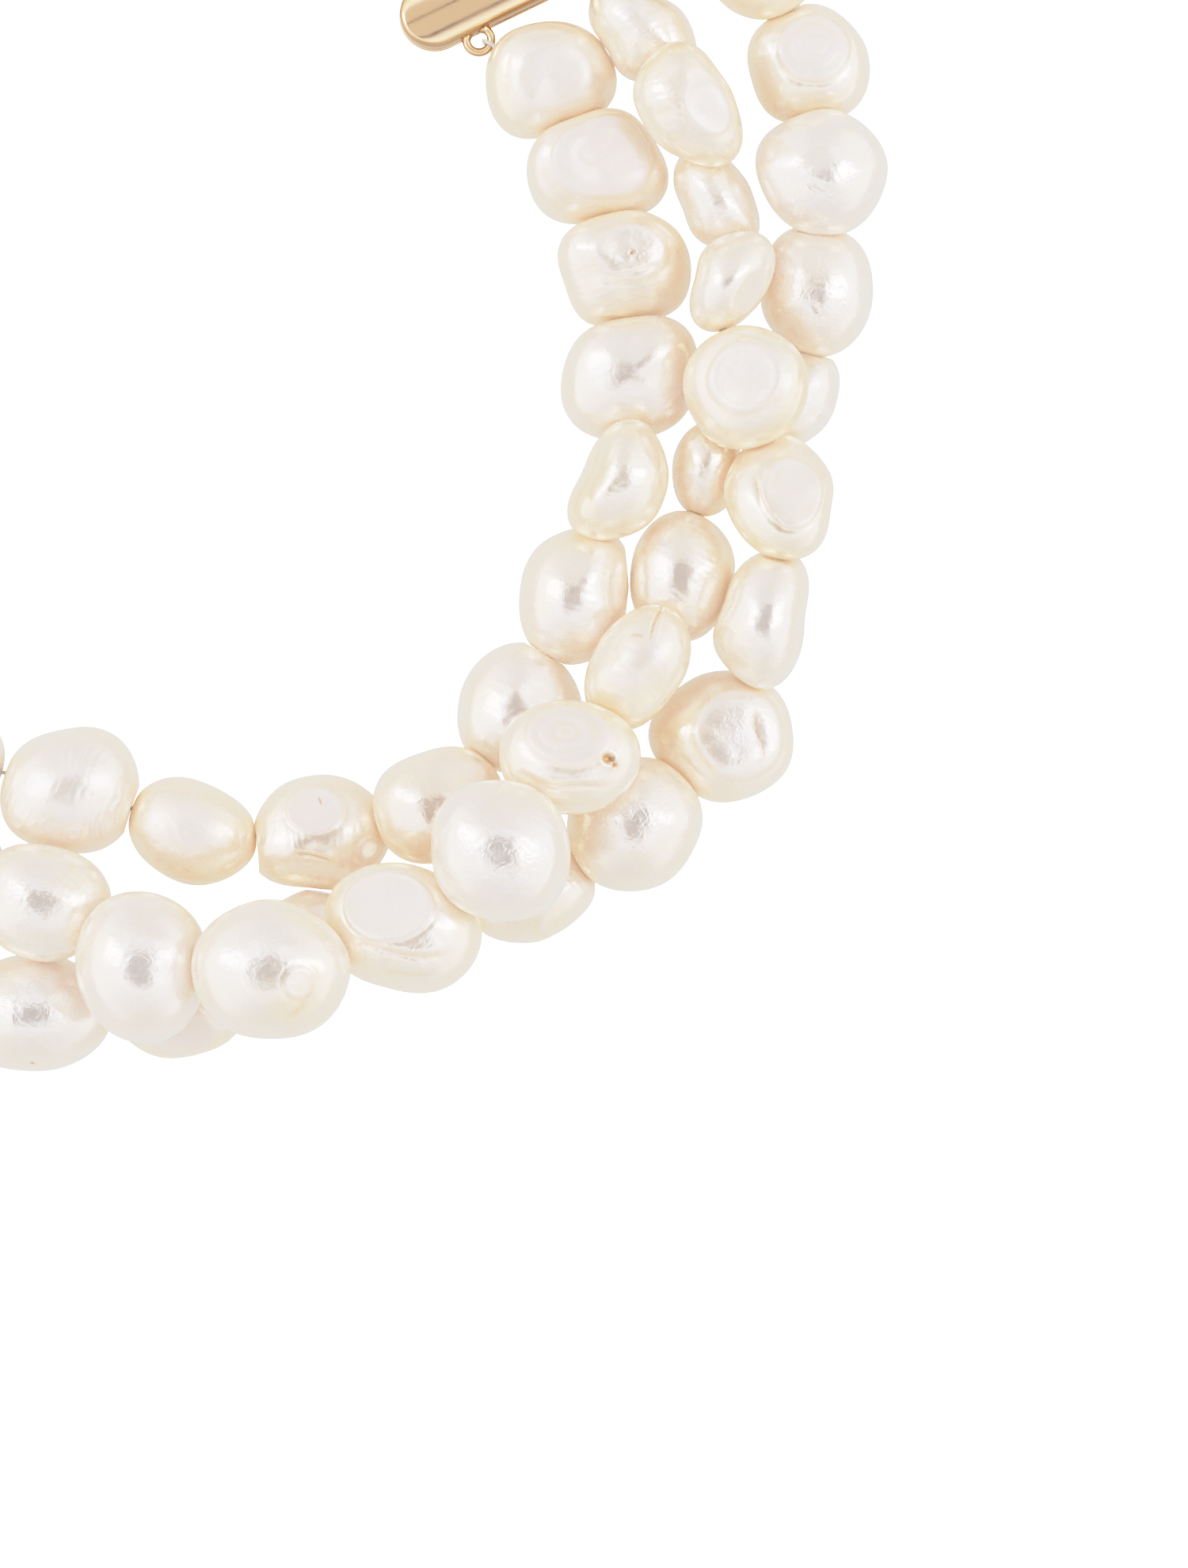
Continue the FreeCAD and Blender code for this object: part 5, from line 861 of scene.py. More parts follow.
def nacre_material():
    material, g, bsdf = new_material("nacre")
    local = g.attribute("local", "Vector")
    tone, stain, pale, cream, grey, wrinkle, axis, warm = (
        g.attribute(name)
        for name in ("tone", "stain", "pale", "cream", "grey", "wrinkle", "axis", "warm"))

    # body colour: cream to pinkish white, clouded, with painted shade making it deeper towards the
    # edges
    body = g.ramp(tone, [(0.0, (0.94, 0.882, 0.84)), (0.5, (0.94, 0.888, 0.868)),
                         (1.0, (0.94, 0.878, 0.872))])
    body = g.mix(warm, body, (0.96, 0.855, 0.75))
    cloud_noise = g.noise(local, scale=1.3, distort=0.4)
    cloud = g.ramp(cloud_noise, [(0.38, 0.0), (0.66, 1.0)])
    body = g.mix(g.times(cloud, 0.5), body, (0.96, 0.82, 0.66))
    pink_noise = g.noise(local, scale=2.1, detail=2, distort=0.8)
    pink = g.ramp(pink_noise, [(0.45, 0.0), (0.7, 1.0)])
    body = g.mix(g.times(pink, 0.22), body, (0.95, 0.85, 0.86))
    # cream marks: partly the pearls' own tint, mostly painted warm shade between pearls, in ridge
    # grooves, creases and round the holes
    body = g.mix(g.times(cream, 0.6), body, (0.96, 0.80, 0.56))
    body = g.mix(g.times(pale, 0.8), body, (0.94, 0.868, 0.852))
    # painted dark reflection: grey patches on the upper face stand for the camera mirrored overhead
    body = g.mix(g.times(grey, 0.4), body, (0.87, 0.86, 0.88))
    facing = g.add("LayerWeight")
    facing.inputs[0].default_value = 0.40
    edge = g.math("POWER", facing.outputs["Facing"], 1.8)
    # painted shade: the rims turn a warmer, darker cream in place of light bounced between pearls
    painted_rim_shade = g.times(edge, g.plus(g.times(warm, 0.62), 0.25))
    body = g.mix(painted_rim_shade, body, (1.0, 0.79, 0.56))
    body = g.mix(stain, body, (0.50, 0.25, 0.07))

    # painted glow: a faint emission, stronger at the rims, stands in for light that has travelled
    # through the nacre
    glow = g.mix(warm, (1.0, 0.88, 0.78), (1.0, 0.67, 0.40))
    painted_glow_strength = g.plus(g.times(edge, 0.16), 0.07)

    # pale patches are duller than the rest
    lively = g.minus(1.0, g.times(pale, 0.8))
    sheen = g.minus(0.44, g.times(edge, 0.34))
    metallic = g.times(sheen, lively)
    rough_noise = g.noise(local, scale=3.0, detail=4, rough=0.6, distort=0.5)
    rough = g.ramp(rough_noise, [(0.3, 0.18), (0.7, 0.30)])
    roughness = g.plus(rough, g.times(pale, 0.26))
    coat = g.times(lively, 0.8)
    film_noise = g.noise(local, scale=1.4, detail=2, distort=1.0)
    film = g.ramp(film_noise, [(0.3, 0.0), (0.7, 1.0)])
    g.settings(bsdf, {
        "Base Color": body,
        "Emission Color": glow,
        "Emission Strength": painted_glow_strength,
        "Metallic": metallic,
        "Subsurface Weight": 0.3,
        "Subsurface Radius": (1.0, 0.72, 0.5),
        "Subsurface Scale": 0.0020,
        "Roughness": roughness,
        "IOR": 1.6,
        "Coat Weight": coat,
        "Coat Roughness": 0.14,
        "Coat IOR": 1.5,
        "Sheen Weight": 0.0,
        "Sheen Roughness": 0.4,
        "Sheen Tint": (1.0, 0.93, 0.86),
        "Thin Film Thickness": g.plus(g.times(film, 110.0), 300.0),
        "Thin Film IOR": 1.2,
    })

    # relief: growth lines, hammered dimples, wrinkles and fine grain
    wobble = g.noise(local, scale=1.6, distort=0.3)
    lines = g.math("SINE", g.plus(g.times(axis, 44.0), g.times(wobble, 20.0)))
    line_mask = g.ramp(g.noise(local, scale=1.1, detail=2), [(0.45, 0.0), (0.62, 1.0)])
    growth = g.times(g.times(lines, line_mask), g.times(g.attribute("growth"), 0.22))
    dimples = g.times(g.noise(local, scale=5.0, detail=1.5, rough=0.45, distort=0.3), 0.6)
    fold_noise = g.noise(local, scale=5.5, detail=1.5, rough=0.45, distort=1.0)
    folds = g.math("ABSOLUTE", g.minus(fold_noise, 0.5))
    wrinkles = g.times(g.times(folds, wrinkle), -1.1)
    grain = g.times(g.noise(local, scale=20.0, detail=2), 0.035)
    height = g.plus(g.plus(growth, dimples), g.plus(wrinkles, grain))
    strength = g.times(g.minus(1.0, edge), g.minus(0.62, g.times(edge, 0.3)))
    g.bump(bsdf, height, strength=strength, distance=0.00016)
    material.cycles.emission_sampling = "NONE"
    return material


def gold_material(name, base, smoothest, roughest):
    material, g, bsdf = new_material(name)
    place = g.add("TexCoord").outputs["Object"]
    tint = g.ramp(g.noise(place, scale=260.0),
                  [(0.3, base), (0.7, tuple(min(1, x * 1.06) for x in base))])
    # painted shade: the plate is coloured a shade deeper where its reflection points to the bright
    # sides of the room
    mirrored = g.add("SeparateXYZ")
    g.feed(mirrored.inputs[0], g.add("TexCoord").outputs["Reflection"])
    painted_shade_mask = g.ramp(mirrored.outputs[2], [(0.30, 1.0), (0.86, 0.0)])
    painted_shade_colour = tuple(x * share for x, share in zip(base, (0.60, 0.52, 0.42)))
    tint = g.mix(g.times(painted_shade_mask, 0.75), tint, painted_shade_colour)
    rough_noise = g.noise(place, scale=420.0, detail=4, rough=0.6)
    roughness = g.ramp(rough_noise, [(0.3, smoothest), (0.7, roughest)])
    g.settings(bsdf, {"Metallic": 1.0, "Base Color": tint, "Roughness": roughness})
    # fine grain drawn out along the clasp
    stretch = g.add("Mapping")
    stretch.inputs["Rotation"].default_value = (0, 0, math.radians(-25.8))
    stretch.inputs["Scale"].default_value = (120.0, 2600.0, 900.0)
    g.feed(stretch.inputs["Vector"], place)
    grain = g.noise(stretch.outputs[0], scale=1.0, rough=0.6)
    g.bump(bsdf, grain, strength=0.12, distance=0.00002)
    return material


def silk_material():
    material, g, bsdf = new_material("silk")
    place = g.add("TexCoord").outputs["Object"]
    colour = g.ramp(g.noise(place, scale=3000.0),
                    [(0.3, (0.86, 0.84, 0.80)), (0.7, (0.95, 0.94, 0.91))])
    g.settings(bsdf, {"Base Color": colour, "Roughness": 0.62, "Sheen Weight": 0.5,
                      "Sheen Roughness": 0.35, "Subsurface Weight": 0.2,
                      "Subsurface Scale": 0.0003})
    g.bump(bsdf, g.noise(place, scale=9000.0, detail=2), strength=0.4, distance=0.00003)
    return material


NACRE = nacre_material()
GOLD = gold_material("gold", (0.91, 0.655, 0.415), smoothest=0.10, roughest=0.16)
STRIP = gold_material("spring_strip", (0.86, 0.66, 0.42), smoothest=0.16, roughest=0.26)
SILK = silk_material()

for one_pearl in PEARLS:
    make_pearl(one_pearl, NACRE)

# ---------------------------------------------------------------------- thread
# Thread from the loop round the box ring to the first pearl, x y z
BOX_LOOPS = {
    "inner": table("""
-9.0618 -10.5598 1.805  -9.1074 -10.4642 1.5311  -9.2402 -10.3151 1.3156
-9.435 -10.1317 1.1943  -9.6564 -9.9389 1.1873  -9.8647 -9.7628 1.2961
-10.0225 -9.6271 1.5034  -10.1005 -9.5488 1.7755  -10.0825 -9.5354 2.0683
-9.968 -9.5839 2.3344  -9.7722 -9.6812 2.5305  -9.5237 -9.8061 2.625
-9.2598 -9.933 2.6027  -8.8026 -10.5038 2.495  -8.4668 -10.7451 2.7679
""", 3),
    "middle": table("""
2.1656 -5.302 1.8493  2.2253 -5.2178 1.5744  2.25 -5.0322 1.348
2.2417 -4.774 1.2083  2.2077 -4.4838 1.1789  2.1595 -4.2073 1.2657
2.1111 -3.9883 1.4552  2.0763 -3.8609 1.7176  2.0668 -3.8443 2.0107
2.0901 -3.9396 2.2875  2.1485 -4.1296 2.5037  2.2383 -4.3816 2.6249
2.3508 -4.6528 2.6321  2.3271 -5.4407 2.6087
""", 3),
    "outer": table("""
14.2271 0.5665 2.0582  14.2704 0.5716 1.7677  14.2822 0.6881 1.4984
14.2669 0.8988 1.2943  14.2327 1.1709 1.1891  14.1915 1.4615 1.1999
14.156 1.7248 1.3251  14.1381 1.9193 1.5444  14.1466 2.0151 1.8219
14.1863 1.998 2.1124  14.2567 1.8726 2.3685  14.3523 1.661 2.5483
14.4636 1.3995 2.6226  14.4299 0.6518 2.7938
""", 3),
}
# Thread from the last pearl to the loop round the tongue ring, x y z
TONGUE_LOOPS = {
    "inner": table("""
-14.8176 -0.4533 2.4387  -14.715 -1.2129 2.5621  -14.5585 -1.4561 2.6132
-14.4002 -1.6943 2.5467  -14.2603 -1.886 2.3736  -14.1561 -1.997 2.1224
-14.099 -2.0065 1.8345  -14.0925 -1.9103 1.557  -14.1323 -1.7213 1.3357
-14.206 -1.4678 1.2069  -14.2959 -1.1887 1.1919  -14.3818 -0.9267 1.2932
-14.4438 -0.7222 1.4946  -14.4663 -0.6058 1.7634
""", 3),
    "middle": table("""
-2.2941 5.3868 2.6594  -2.2845 4.6226 2.6063  -2.1571 4.3588 2.5846
-2.0364 4.1275 2.4499  -1.936 3.9683 2.2244  -1.8665 3.9092 1.9452
-1.8333 3.962 1.6582  -1.8358 4.1198 1.4106  -1.8677 4.3589 1.2429
-1.9179 4.642 1.183  -1.972 4.9248 1.2408  -2.0154 5.1631 1.407
-2.035 5.3197 1.6547  -2.0216 5.371 1.9436
""", 3),
    "outer": table("""
10.1459 11.0216 2.9366  10.087 10.3129 2.5968  10.1878 10.0693 2.4674
10.2707 9.896 2.2453  10.3282 9.8228 1.9667  10.357 9.8634 1.6773
10.3584 10.0126 1.4242  10.3384 10.2475 1.2491  10.3062 10.5312 1.1804
10.2732 10.8189 1.2294  10.2509 11.065 1.388  10.249 11.2309 1.6304
10.2739 11.2909 1.9168  10.3276 11.2367 2.2005
""", 3),
}
# Breaks between segments: end of one segment's thread, start of the next one's
BREAKS = {
    "inner": table("""
-64.3094 -74.473 4.6829  -64.6049 -74.3788 4.6794
-86.2838 -65.9781 4.3677  -86.5591 -65.8359 4.3814
-105.2713 -52.2622 4.4395  -105.4707 -52.0244 4.4402
-118.6126 -12.008 4.9567  -118.5468 -11.705 4.9556
-93.4096 21.5205 4.9277  -93.164 21.7124 4.9348
-59.5152 28.6988 4.5476  -59.2058 28.7498 4.5318
-27.1931 16.7839 4.7573  -26.9157 16.6381 4.7681
""", 6),
    "middle": table("""
-64.4928 -85.1928 4.4061  -64.8048 -85.2046 4.4143
-94.6914 -77.505 4.237  -94.9532 -77.3368 4.2383
-119.9878 -57.01 4.1849  -120.1682 -56.7577 4.2038
-131.6706 -5.0042 3.9439  -131.5619 -4.7136 3.9514
-95.7016 36.3071 4.1294  -95.4488 36.4906 4.1203
-53.5129 42.0062 4.2991  -53.2011 42.0093 4.2946
-21.9854 30.161 4.1005  -21.7092 30.0173 4.0926
""", 6),
    "outer": table("""
-58.1096 -98.9747 4.963  -58.4187 -98.9473 4.9546
-101.2558 -90.5976 4.2581  -101.4953 -90.3962 4.2538
-134.9575 -61.734 4.9843  -135.1003 -61.4579 4.9801
-145.0966 2.4456 4.3513  -144.964 2.7272 4.3493
-100.3976 49.0943 4.4169  -100.115 49.2218 4.4132
-57.6907 56.504 4.2567  -57.3804 56.5249 4.2545
-15.832 43.4073 3.9913  -15.5448 43.2853 3.9748
""", 6),
}
LOOP_MIDDLE, LOOP_EXIT = 6, 13  # points counted from the looped end of the thread
STRANDS_IN_CORD = 3


def cord(points, radius, sides, step, twist, depth):
    """Twisted cord swept along a polyline; depth is the groove's share of the radius."""
    line = np.array(points)
    lengths = np.linalg.norm(np.diff(line, axis=0), axis=1)
    distance = np.r_[0, np.cumsum(lengths)]
    count = max(4, int(distance[-1] / step))
    stations = np.linspace(0, distance[-1], count + 1)
    path = np.stack([np.interp(stations, distance, line[:, k]) for k in range(3)], 1)
    for _ in range(2):
        smoother = path.copy()
        smoother[1:-1] = (path[:-2] + 2 * path[1:-1] + path[2:]) / 4
        path = smoother
    tangents = np.gradient(path, axis=0)
    tangents /= np.linalg.norm(tangents, axis=1)[:, None]
    normal = np.cross(tangents[0], [0, 0, 1.0])
    if np.linalg.norm(normal) < 0.1:
        normal = np.cross(tangents[0], [1.0, 0, 0])
    normal = unit(normal)
    turn = np.linspace(0, 2 * math.pi, sides, endpoint=False)
    rings = []
    for centre, tangent, station in zip(path, tangents, stations):
        normal = unit(normal - tangent * (normal @ tangent))
        across = np.cross(tangent, normal)
        lobe = np.abs(np.cos(STRANDS_IN_CORD / 2 * (turn - twist * station)))
        reach = radius * (1 - depth + depth * lobe)
        rings.append(centre + (np.cos(turn) * reach)[:, None] * normal
                     + (np.sin(turn) * reach)[:, None] * across)
    return np.concatenate(rings), swept_faces(len(path), sides)


def knot_line(centre, pull, axis, size):
    """Overhand knot as a closed trefoil centre line."""
    rise = np.cross(axis, pull)
    points = []
    for k in range(60):
        a = 2 * math.pi * k / 60
        x = (math.sin(a) + 2 * math.sin(2 * a)) / 3
        y = (math.cos(a) - 2 * math.cos(2 * a)) / 3
        z = -math.sin(3 * a) / 3
        points.append(centre + size * (x * rise + y * axis + 1.1 * z * pull))
    return points + points[:1]


def make_knot(tag, points):
    """Knot where the thread leaves its loop; points start at the looped end."""
    leaving = points[LOOP_EXIT]
    pull = unit(leaving - points[LOOP_MIDDLE])
    axis = unit(np.cross(pull, [0, 0, 1.0]))
    line = knot_line(leaving - pull * 0.24, pull, axis, size=0.29)
    verts, faces = cord(line, radius=0.15, sides=9, step=0.05, twist=12.0, depth=0.2)
    register(new_mesh("knot_" + tag, verts * MM, faces, SILK), tag)


def make_threads(strand):
    """Silk of one strand, a piece to a segment, through the holes between its pearls."""
    breaks = BREAKS[strand]
    starts = [BOX_LOOPS[strand], *breaks[:, None, 3:]]
    ends = [*breaks[:, None, :3], TONGUE_LOOPS[strand]]
    first = 0
    for segment, count, start, end in zip(SEGMENTS, SEGMENT_COUNTS[strand], starts, ends):
        points = np.concatenate([start, HOLES[strand][first + 1:first + count], end])
        first += count
        tag = "%s_%s" % (strand, segment)
        verts, faces = cord(points, radius=0.205, sides=12, step=0.07, twist=9.0, depth=0.22)
        silk = new_mesh("silk_" + tag, verts * MM, faces, SILK)
        register(silk, tag, tag + "_thread")
        if segment == "b1":
            make_knot(tag, points)
        elif segment == "t1":
            make_knot(tag, points[::-1])


for strand_name in SEGMENT_COUNTS:
    make_threads(strand_name)

# ----------------------------------------------------------------------- clasp
# Clasp frame: x along the bar, y across it with the mouth towards +y, z up.
TURN = math.radians(25.805)
TURN_MATRIX = np.array([[math.cos(TURN), -math.sin(TURN), 0],
                        [math.sin(TURN), math.cos(TURN), 0], [0, 0, 1.0]])
LENGTH = 38.8
HALF_WIDTH = 3.15
STRAIGHT = LENGTH - 2 * HALF_WIDTH  # between the centres of the round ends
PLATE_STEP = 0.05                   # the end plate stands proud of the cover
PLATE_HALF = HALF_WIDTH + PLATE_STEP
MOUTH = 2.65                        # y where the cover and base stop
PLATE_START = 2.70                  # y where the end plate begins
UNCUT = 9                           # further than any half width
CROWN_TOP = 3.8
CROWN_RADIUS = 8
FILLET = 0.5
ARC_STEPS = 40
SIDE_STEPS = 24
WALL_HEIGHTS = (1.4, 2.2)
SHOULDER_FALL = 0.55                # top of the wall, below the crown


def to_world(points):
    return (points @ TURN_MATRIX.T) * MM


def stadium(half):
    """Outline of a bar with round ends, anticlockwise."""
    points = []
    for way in (1, -1):
        for k in range(ARC_STEPS + 1):
            a = -way * math.pi / 2 + math.pi * k / ARC_STEPS
            points.append((way * STRAIGHT / 2 + half * math.cos(a), half * math.sin(a)))
        for k in range(1, SIDE_STEPS):
            points.append((way * (STRAIGHT / 2 - STRAIGHT * k / SIDE_STEPS), way * half))
    return np.array(points)


def trimmed(half, low, high):
    """Stadium cut to low <= y <= high."""
    outline = stadium(half)
    if low > 0:
        # the rounded ends stop where the cut meets them
        reach = STRAIGHT / 2 + math.sqrt(max(max(half, low) ** 2 - low * low, 0.0))
        outline[:, 0] = np.clip(outline[:, 0], -reach, reach)
    outline[:, 1] = np.clip(outline[:, 1], low, high)
    return outline


def loft(side_rings, top_rings=(), low=-UNCUT, high=UNCUT):
    """Solid of stadium rings: sides as (half, z), tops as (half, fall below the crown)."""
    rings = []
    for half, z in side_rings:
        outline = trimmed(half, low, high)
        rings.append(np.c_[outline, np.full(len(outline), z)])
    for half, fall in top_rings:
        outline = trimmed(half, low, high)
        crown = CROWN_TOP - CROWN_RADIUS + np.sqrt(CROWN_RADIUS**2 - outline[:, 1] ** 2)
        rings.append(np.c_[outline, crown - fall])
    return np.concatenate(rings), swept_faces(len(rings), len(rings[0]))


def block(x0, x1, y0, y1, z0, z1):
    verts = np.array([(x, y, z) for z in (z0, z1) for y in (y0, y1) for x in (x0, x1)], float)
    faces = [(0, 2, 3, 1), (4, 5, 7, 6), (0, 1, 5, 4), (2, 6, 7, 3), (0, 4, 6, 2), (1, 3, 7, 5)]
    return verts, faces


def gold_part(name, shape, cutters=(), bevel=0.04):
    """Gold solid with the cutters taken out and its edges softened."""
    verts, faces = shape
    ob = new_mesh(name, to_world(verts), faces, GOLD, smooth=False)
    bm = bmesh.new()
    bm.from_mesh(ob.data)
    bmesh.ops.remove_doubles(bm, verts=bm.verts, dist=1e-6)
    bmesh.ops.dissolve_degenerate(bm, edges=bm.edges, dist=1e-6)
    bmesh.ops.recalc_face_normals(bm, faces=bm.faces)
    bm.to_mesh(ob.data)
    bm.free()
    tools = []
    for k, (cut_verts, cut_faces) in enumerate(cutters):
        tool = new_mesh("%s_cut%d" % (name, k), to_world(cut_verts), cut_faces, GOLD, smooth=False)
        boolean = ob.modifiers.new("cut%d" % k, "BOOLEAN")
        boolean.operation = "DIFFERENCE"
        boolean.solver = "EXACT"
        boolean.object = tool
        tools.append(tool)
    soften = ob.modifiers.new("bevel", "BEVEL")
    soften.width = bevel * MM
    soften.segments = 3
    soften.limit_method = "ANGLE"
    soften.angle_limit = math.radians(32)
    soften.harden_normals = False
    depsgraph = bpy.context.evaluated_depsgraph_get()
    mesh = bpy.data.meshes.new_from_object(ob.evaluated_get(depsgraph), depsgraph=depsgraph)
    ob.modifiers.clear()
    ob.data = mesh
    mesh.name = name
    for tool in tools:
        bpy.data.objects.remove(tool, do_unlink=True)
    mesh.polygons.foreach_set("use_smooth", [True] * len(mesh.polygons))
    mesh.update()
    mesh.set_sharp_from_angle(angle=math.radians(38))
    return ob


# rounded top edge as (half width, fall below the crown)
fillet = [(HALF_WIDTH - FILLET * (1 - math.cos(a)), FILLET * (1 - math.sin(a)))
          for a in np.radians([0, 15, 30, 45, 60, 75, 90])]


def make_cover():
    """Domed shell, hollow, with a window in its mouth wall."""
    sides = [(3.10, 0.52), (HALF_WIDTH, 0.60)] + [(HALF_WIDTH, z) for z in WALL_HEIGHTS]
    tops = [(HALF_WIDTH, SHOULDER_FALL)] + fillet
    tops += [(half, 0.0) for half in (2.3, 1.9, 1.4, 0.9, 0.45, 0.12)]
    hollow = loft([(2.75, 0.1), (2.75, 2.9)], high=MOUTH - 0.4)
    window = block(-9.5, 9.5, 1.6, 3.6, 0.1, 2.55)
    cover = gold_part("clasp_cover_shell", loft(sides, tops, high=MOUTH), [hollow, window])
    register(cover, "clasp_box", "clasp_cover")


def make_base():
    """Base plate with a rounded rim, as (half width, z)."""
    rim = [(3.12, 0.0), (3.22, 0.05), (3.27, 0.14), (3.28, 0.25), (3.27, 0.36), (3.22, 0.45),
           (3.12, 0.50)]
    base = gold_part("clasp_base_plate", loft(rim, high=MOUTH), bevel=0.02)
    register(base, "clasp_box", "clasp_base")


TAB_START, TAB_END = 5.3, 8.3  # thumb tab along x


def make_end_plate():
    """End plate of the tongue, notched round the thumb tab."""
    sides = [(3.12, 0.0), (PLATE_HALF, 0.08)] + [(PLATE_HALF, z) for z in WALL_HEIGHTS]
    tops = [(PLATE_HALF, SHOULDER_FALL)]
    tops += [(half + PLATE_STEP, fall) for half, fall in fillet[:-1]]
    notch = block(TAB_START - 0.3, TAB_END + 0.3, 2.0, 5.0, 1.45, 8.0)
    plate = gold_part("tongue_end_plate", loft(sides, tops, low=PLATE_START), [notch])
    register(plate, "clasp_tongue", "tongue_plate")


LEAF_HALF = 9        # half the leaves' length along x
LEAF_THICKNESS = 0.28


def spring_leaf(name, profile, body, node):
    """Bent strip: centre line in the (y, z) plane, extruded along x with soft ends."""
    line = np.array(profile, float)
    tangents = np.gradient(line, axis=0)
    tangents /= np.linalg.norm(tangents, axis=1)[:, None]
    normals = np.c_[-tangents[:, 1], tangents[:, 0]]
    inset = np.linspace(-LEAF_HALF + 0.4, LEAF_HALF - 0.4, 8)
    stations = np.r_[-LEAF_HALF, -LEAF_HALF + 0.08, inset, LEAF_HALF - 0.08, LEAF_HALF]
    rings = []
    for x in stations:
        shrink = 0.06 if abs(x) == LEAF_HALF else 0.0
        offset = normals * (LEAF_THICKNESS / 2 - shrink)
        ring = np.r_[line + offset, (line - offset)[::-1]]
        rings.append(np.c_[np.full(len(ring), x), ring])
    faces = swept_faces(len(stations), len(rings[0]), reverse=True)
    ob = new_mesh(name, to_world(np.concatenate(rings)), faces, STRIP)
    ob.data.set_sharp_from_angle(angle=math.radians(40))
    register(ob, body, node)


def make_leaves():
    """Flat lower leaf turned up at its -y end, and the upper leaf sloping up from there."""
    spring_leaf("tongue_lower_leaf",
                [(2.75, 0.90), (1.5, 0.90), (0.2, 0.90), (-1.2, 0.90), (-1.95, 0.905),
                 (-2.18, 1.0), (-2.24, 1.14), (-2.18, 1.28), (-2.04, 1.34)],
                "clasp_tongue", "tongue_spring")
    slope = math.radians(15.3)
    spring_leaf("catch_upper_leaf",
                [(-2.0 + r * math.cos(slope), 1.2 + r * math.sin(slope))
                 for r in (0.37, 0.9, 1.6, 2.4, 3.2, 3.8, 4.0, 4.25)],
                "catch", "catch_leaf")


def make_thumb_tab():
    neck = block(TAB_START + 0.4, TAB_END - 0.4, 2.15, 3.5, 2.14, 2.42)
    register(gold_part("thumb_tab_neck", neck, bevel=0.06), "catch")
    pad = block(TAB_START, TAB_END, 3.35, 4.35, 2.10, 2.46)
    register(gold_part("thumb_tab_pad", pad, bevel=0.12), "catch", "thumb_tab")


RING_OFFSET = 3.9    # ring centres either side of the bar
RING_HEIGHT = 1.9
RING_RADIUS = 1.15
WIRE_RADIUS = 0.40
RING_PLACES = {"inner": -13.6, "middle": 0.0, "outer": 13.6}


def wire_ring(name, x, y, body, node):
    """Flat-lying wire ring soldered to the wall, thickened by solder where they meet."""
    around, sides = 72, 20
    wall = HALF_WIDTH if y < 0 else PLATE_HALF
    verts = []
    for i in range(around):
        a = 2 * math.pi * i / around
        wire_y, wire_x = y + RING_RADIUS * math.sin(a), x + RING_RADIUS * math.cos(a)
        near = math.exp(-((max(0.0, abs(wire_y) - wall) / 0.22) ** 2))
        r = WIRE_RADIUS + 0.10 * near
        for j in range(sides):
            b = 2 * math.pi * j / sides
            verts.append((wire_x + math.cos(a) * r * math.cos(b),
                          wire_y + math.sin(a) * r * math.cos(b), RING_HEIGHT + r * math.sin(b)))
    verts = np.array(verts)
    # stop just inside the wall
    limit = wall - 0.03
    if y < 0:
        verts[:, 1] = np.minimum(verts[:, 1], -limit)
    else:
        verts[:, 1] = np.maximum(verts[:, 1], limit)
    faces = ring_quads(around, sides, closed=True, reverse=True)
    register(new_mesh(name, to_world(verts), faces, GOLD), body, node)


make_cover()
make_base()
make_end_plate()
make_leaves()
make_thumb_tab()
for which, ring_x in RING_PLACES.items():
    wire_ring("box_ring_" + which, ring_x, -RING_OFFSET, "clasp_box", "box_rings")
    wire_ring("tongue_ring_" + which, ring_x, RING_OFFSET, "clasp_tongue", "tongue_rings")

# ----------------------------------------------------------------------- stage
DIFFUSE_FILL = 0.80            # room light on matt surfaces
GLOSS_FILL = 1.75              # room light in reflections
CAMERA_BOOST = 3.2             # extra brightness of the background seen directly
ROOM_WHITE = (1.0, 0.985, 0.965)
FLOOR_HALF, FLOOR_Z = 3, -0.0003          # metres
LIGHT_TARGET = (0, -0.05, 0)              # metres
CAMERA_X, CAMERA_Y, CAMERA_Z = 0.04, -77.8, 700.0
VIEW_HEIGHT = 144.467          # height of the view at z = 0
SENSOR = 36.0
CARD_HALF, CARD_Z = 46, 90.0
scene = bpy.context.scene


def set_view():
    view = scene.view_settings
    view.view_transform = "Standard"
    view.look = "None"
    view.exposure = 0.0
    view.gamma = 1.0
    # gentle shoulder so that the highlights keep their form
    white = 2.5
    view.use_curve_mapping = True
    mapping = view.curve_mapping
    mapping.white_level = (white, white, white)
    curve = mapping.curves[3]
    curve.points[0].location = (0.0, 0.0)
    curve.points[1].location = (1.0, 1.0)
    for level, shown in ((0.55, 0.55), (0.80, 0.745), (1.05, 0.84), (1.4, 0.905), (1.9, 0.95)):
        curve.points.new(level / white, shown)
    mapping.update()
    scene.cycles.use_denoising = True


def make_floor():
    """Matt white floor that glows, most strongly where the camera sees it."""
    material, g, bsdf = new_material("floor")
    g.settings(bsdf, {"Base Color": (0.86, 0.86, 0.86), "Roughness": 0.9,
                      "Specular IOR Level": 0.1})
    glow = g.add("Emission")
    glow.inputs[0].default_value = (*ROOM_WHITE, 1)
    camera_ray = g.add("LightPath").outputs["Is Camera Ray"]
    both = g.add("MixShader")
    g.feed(both.inputs[0], g.plus(g.times(camera_ray, 0.4), 0.55))
    g.feed(both.inputs[1], bsdf.outputs[0])
    g.feed(glow.inputs[1], g.plus(g.times(camera_ray, CAMERA_BOOST), 0.9))
    g.feed(both.inputs[2], glow.outputs[0])
    g.feed(g.tree.nodes["Material Output"].inputs[0], both.outputs[0])
    material.cycles.emission_sampling = "NONE"
    corners = [(x * FLOOR_HALF, y * FLOOR_HALF, FLOOR_Z)
               for x, y in ((-1, -1), (1, -1), (1, 1), (-1, 1))]
    new_mesh("floor", corners, [(0, 1, 2, 3)], material)


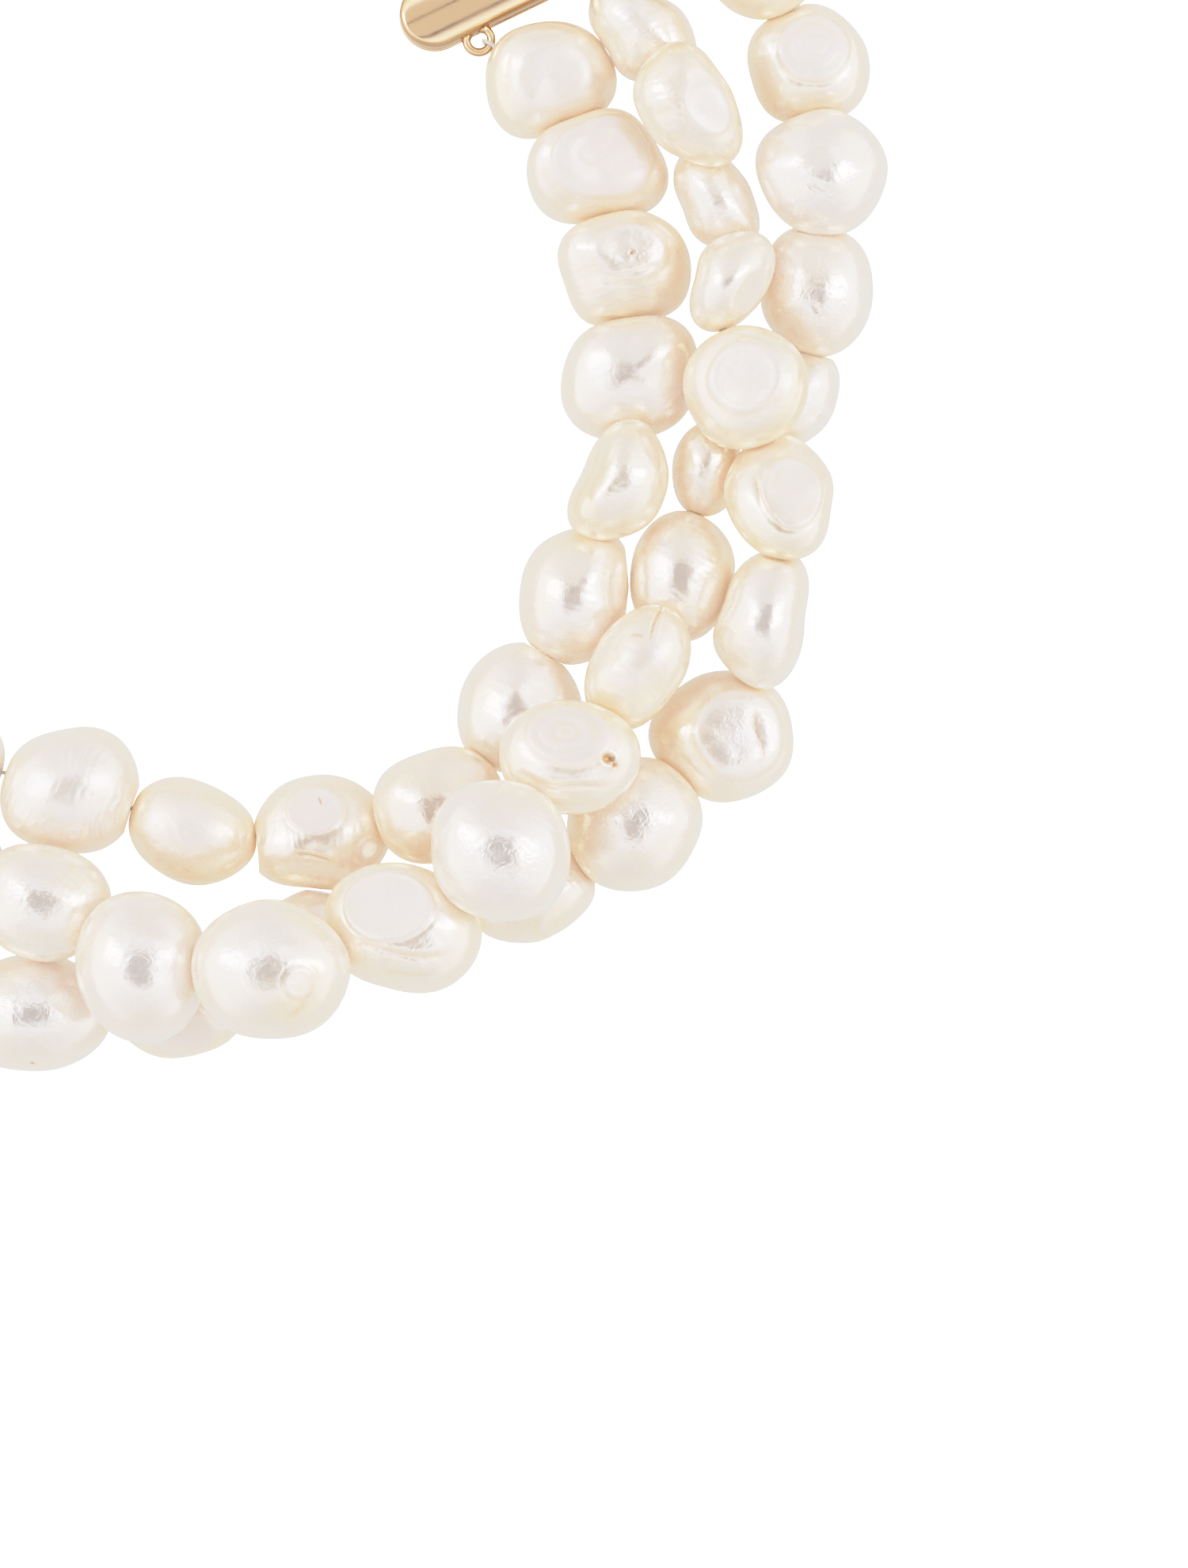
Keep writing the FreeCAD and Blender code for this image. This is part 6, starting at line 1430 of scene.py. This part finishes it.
def make_world():
    """Soft white room; its reflections are banked round a darker patch overhead,
    where the camera hangs."""
    world = bpy.data.worlds.new("studio")
    scene.world = world
    world.use_nodes = True
    world.cycles.sampling_method = "NONE"
    g = Graph(world.node_tree)
    output = g.add("OutputWorld")
    fill = g.add("Background")
    fill.inputs[0].default_value = (*ROOM_WHITE, 1)
    mirror = g.add("Background")
    direction = g.add("SeparateXYZ")
    g.feed(direction.inputs[0], g.add("TexCoord").outputs["Generated"])
    bank = g.ramp(direction.outputs[2], [
        (0.0, (0.55, 0.52, 0.48)), (0.5, (0.55, 0.53, 0.50)), (0.62, (0.60, 0.58, 0.56)),
        (0.78, (0.74, 0.73, 0.72)), (0.84, (1.0, 1.0, 1.0)), (0.90, (0.80, 0.78, 0.80)),
        (0.94, (0.14, 0.12, 0.15)), (0.96, (0.02, 0.015, 0.03))])
    # brighter towards +X and -X
    sideways = g.times(direction.outputs[0], direction.outputs[0])
    gain = g.plus(g.times(sideways, 1.3), 0.85)
    g.feed(mirror.inputs[0], bank)
    g.feed(mirror.inputs[1], g.times(gain, GLOSS_FILL))
    path = g.add("LightPath")
    choose = g.add("MixShader")
    boosted = g.times(path.outputs["Is Camera Ray"], CAMERA_BOOST)
    g.feed(fill.inputs[1], g.plus(boosted, DIFFUSE_FILL))
    g.feed(choose.inputs[0], path.outputs["Is Glossy Ray"])
    g.feed(choose.inputs[1], fill.outputs[0])
    g.feed(choose.inputs[2], mirror.outputs[0])
    g.feed(output.inputs[0], choose.outputs[0])


def soft_light(name, location, size, power, colour):
    light = bpy.data.lights.new(name, "AREA")
    light.shape = "RECTANGLE"
    light.size, light.size_y = size
    light.energy = power
    light.color = colour
    ob = bpy.data.objects.new(name, light)
    ob.location = location
    aim = Vector(LIGHT_TARGET) - Vector(location)
    ob.rotation_euler = aim.to_track_quat("-Z", "Y").to_euler()
    scene.collection.objects.link(ob)


def make_cards():
    """Two bright cards close over the clasp, hidden from the camera; the slit between
    them draws a fine dark line on the cover."""
    material, g, bsdf = new_material("clasp_card")
    g.settings(bsdf, {"Base Color": (0, 0, 0), "Emission Color": (1.0, 0.95, 0.88),
                      "Emission Strength": 0.78})
    material.cycles.emission_sampling = "NONE"
    for number, (y0, y1) in enumerate(((-30, 9.5), (12.5, 44))):
        corners = np.array([(-CARD_HALF, y0, CARD_Z), (CARD_HALF, y0, CARD_Z),
                            (CARD_HALF, y1, CARD_Z), (-CARD_HALF, y1, CARD_Z)])
        card = new_mesh("clasp_card_%d" % number, to_world(corners), [(3, 2, 1, 0)], material)
        card.visible_camera = False
        card.visible_diffuse = False
        card.visible_shadow = False


def make_camera():
    """Camera looking straight down."""
    data = bpy.data.cameras.new("camera")
    camera = bpy.data.objects.new("camera", data)
    scene.collection.objects.link(camera)
    camera.location = (CAMERA_X * MM, CAMERA_Y * MM, CAMERA_Z * MM)
    data.sensor_fit = "VERTICAL"
    data.sensor_height = SENSOR
    data.sensor_width = SENSOR
    data.lens = SENSOR * CAMERA_Z / VIEW_HEIGHT
    data.clip_start = 0.01
    data.clip_end = 20
    scene.camera = camera


set_view()
make_floor()
make_world()
soft_light("box_left", location=(-0.62, 0.12, 0.62), size=(0.30, 0.55), power=1.6,
           colour=(1.0, 0.985, 0.97))
soft_light("box_right", location=(0.60, 0.0, 0.66), size=(0.25, 0.55), power=1.6,
           colour=(1.0, 0.99, 0.985))
make_cards()
make_camera()
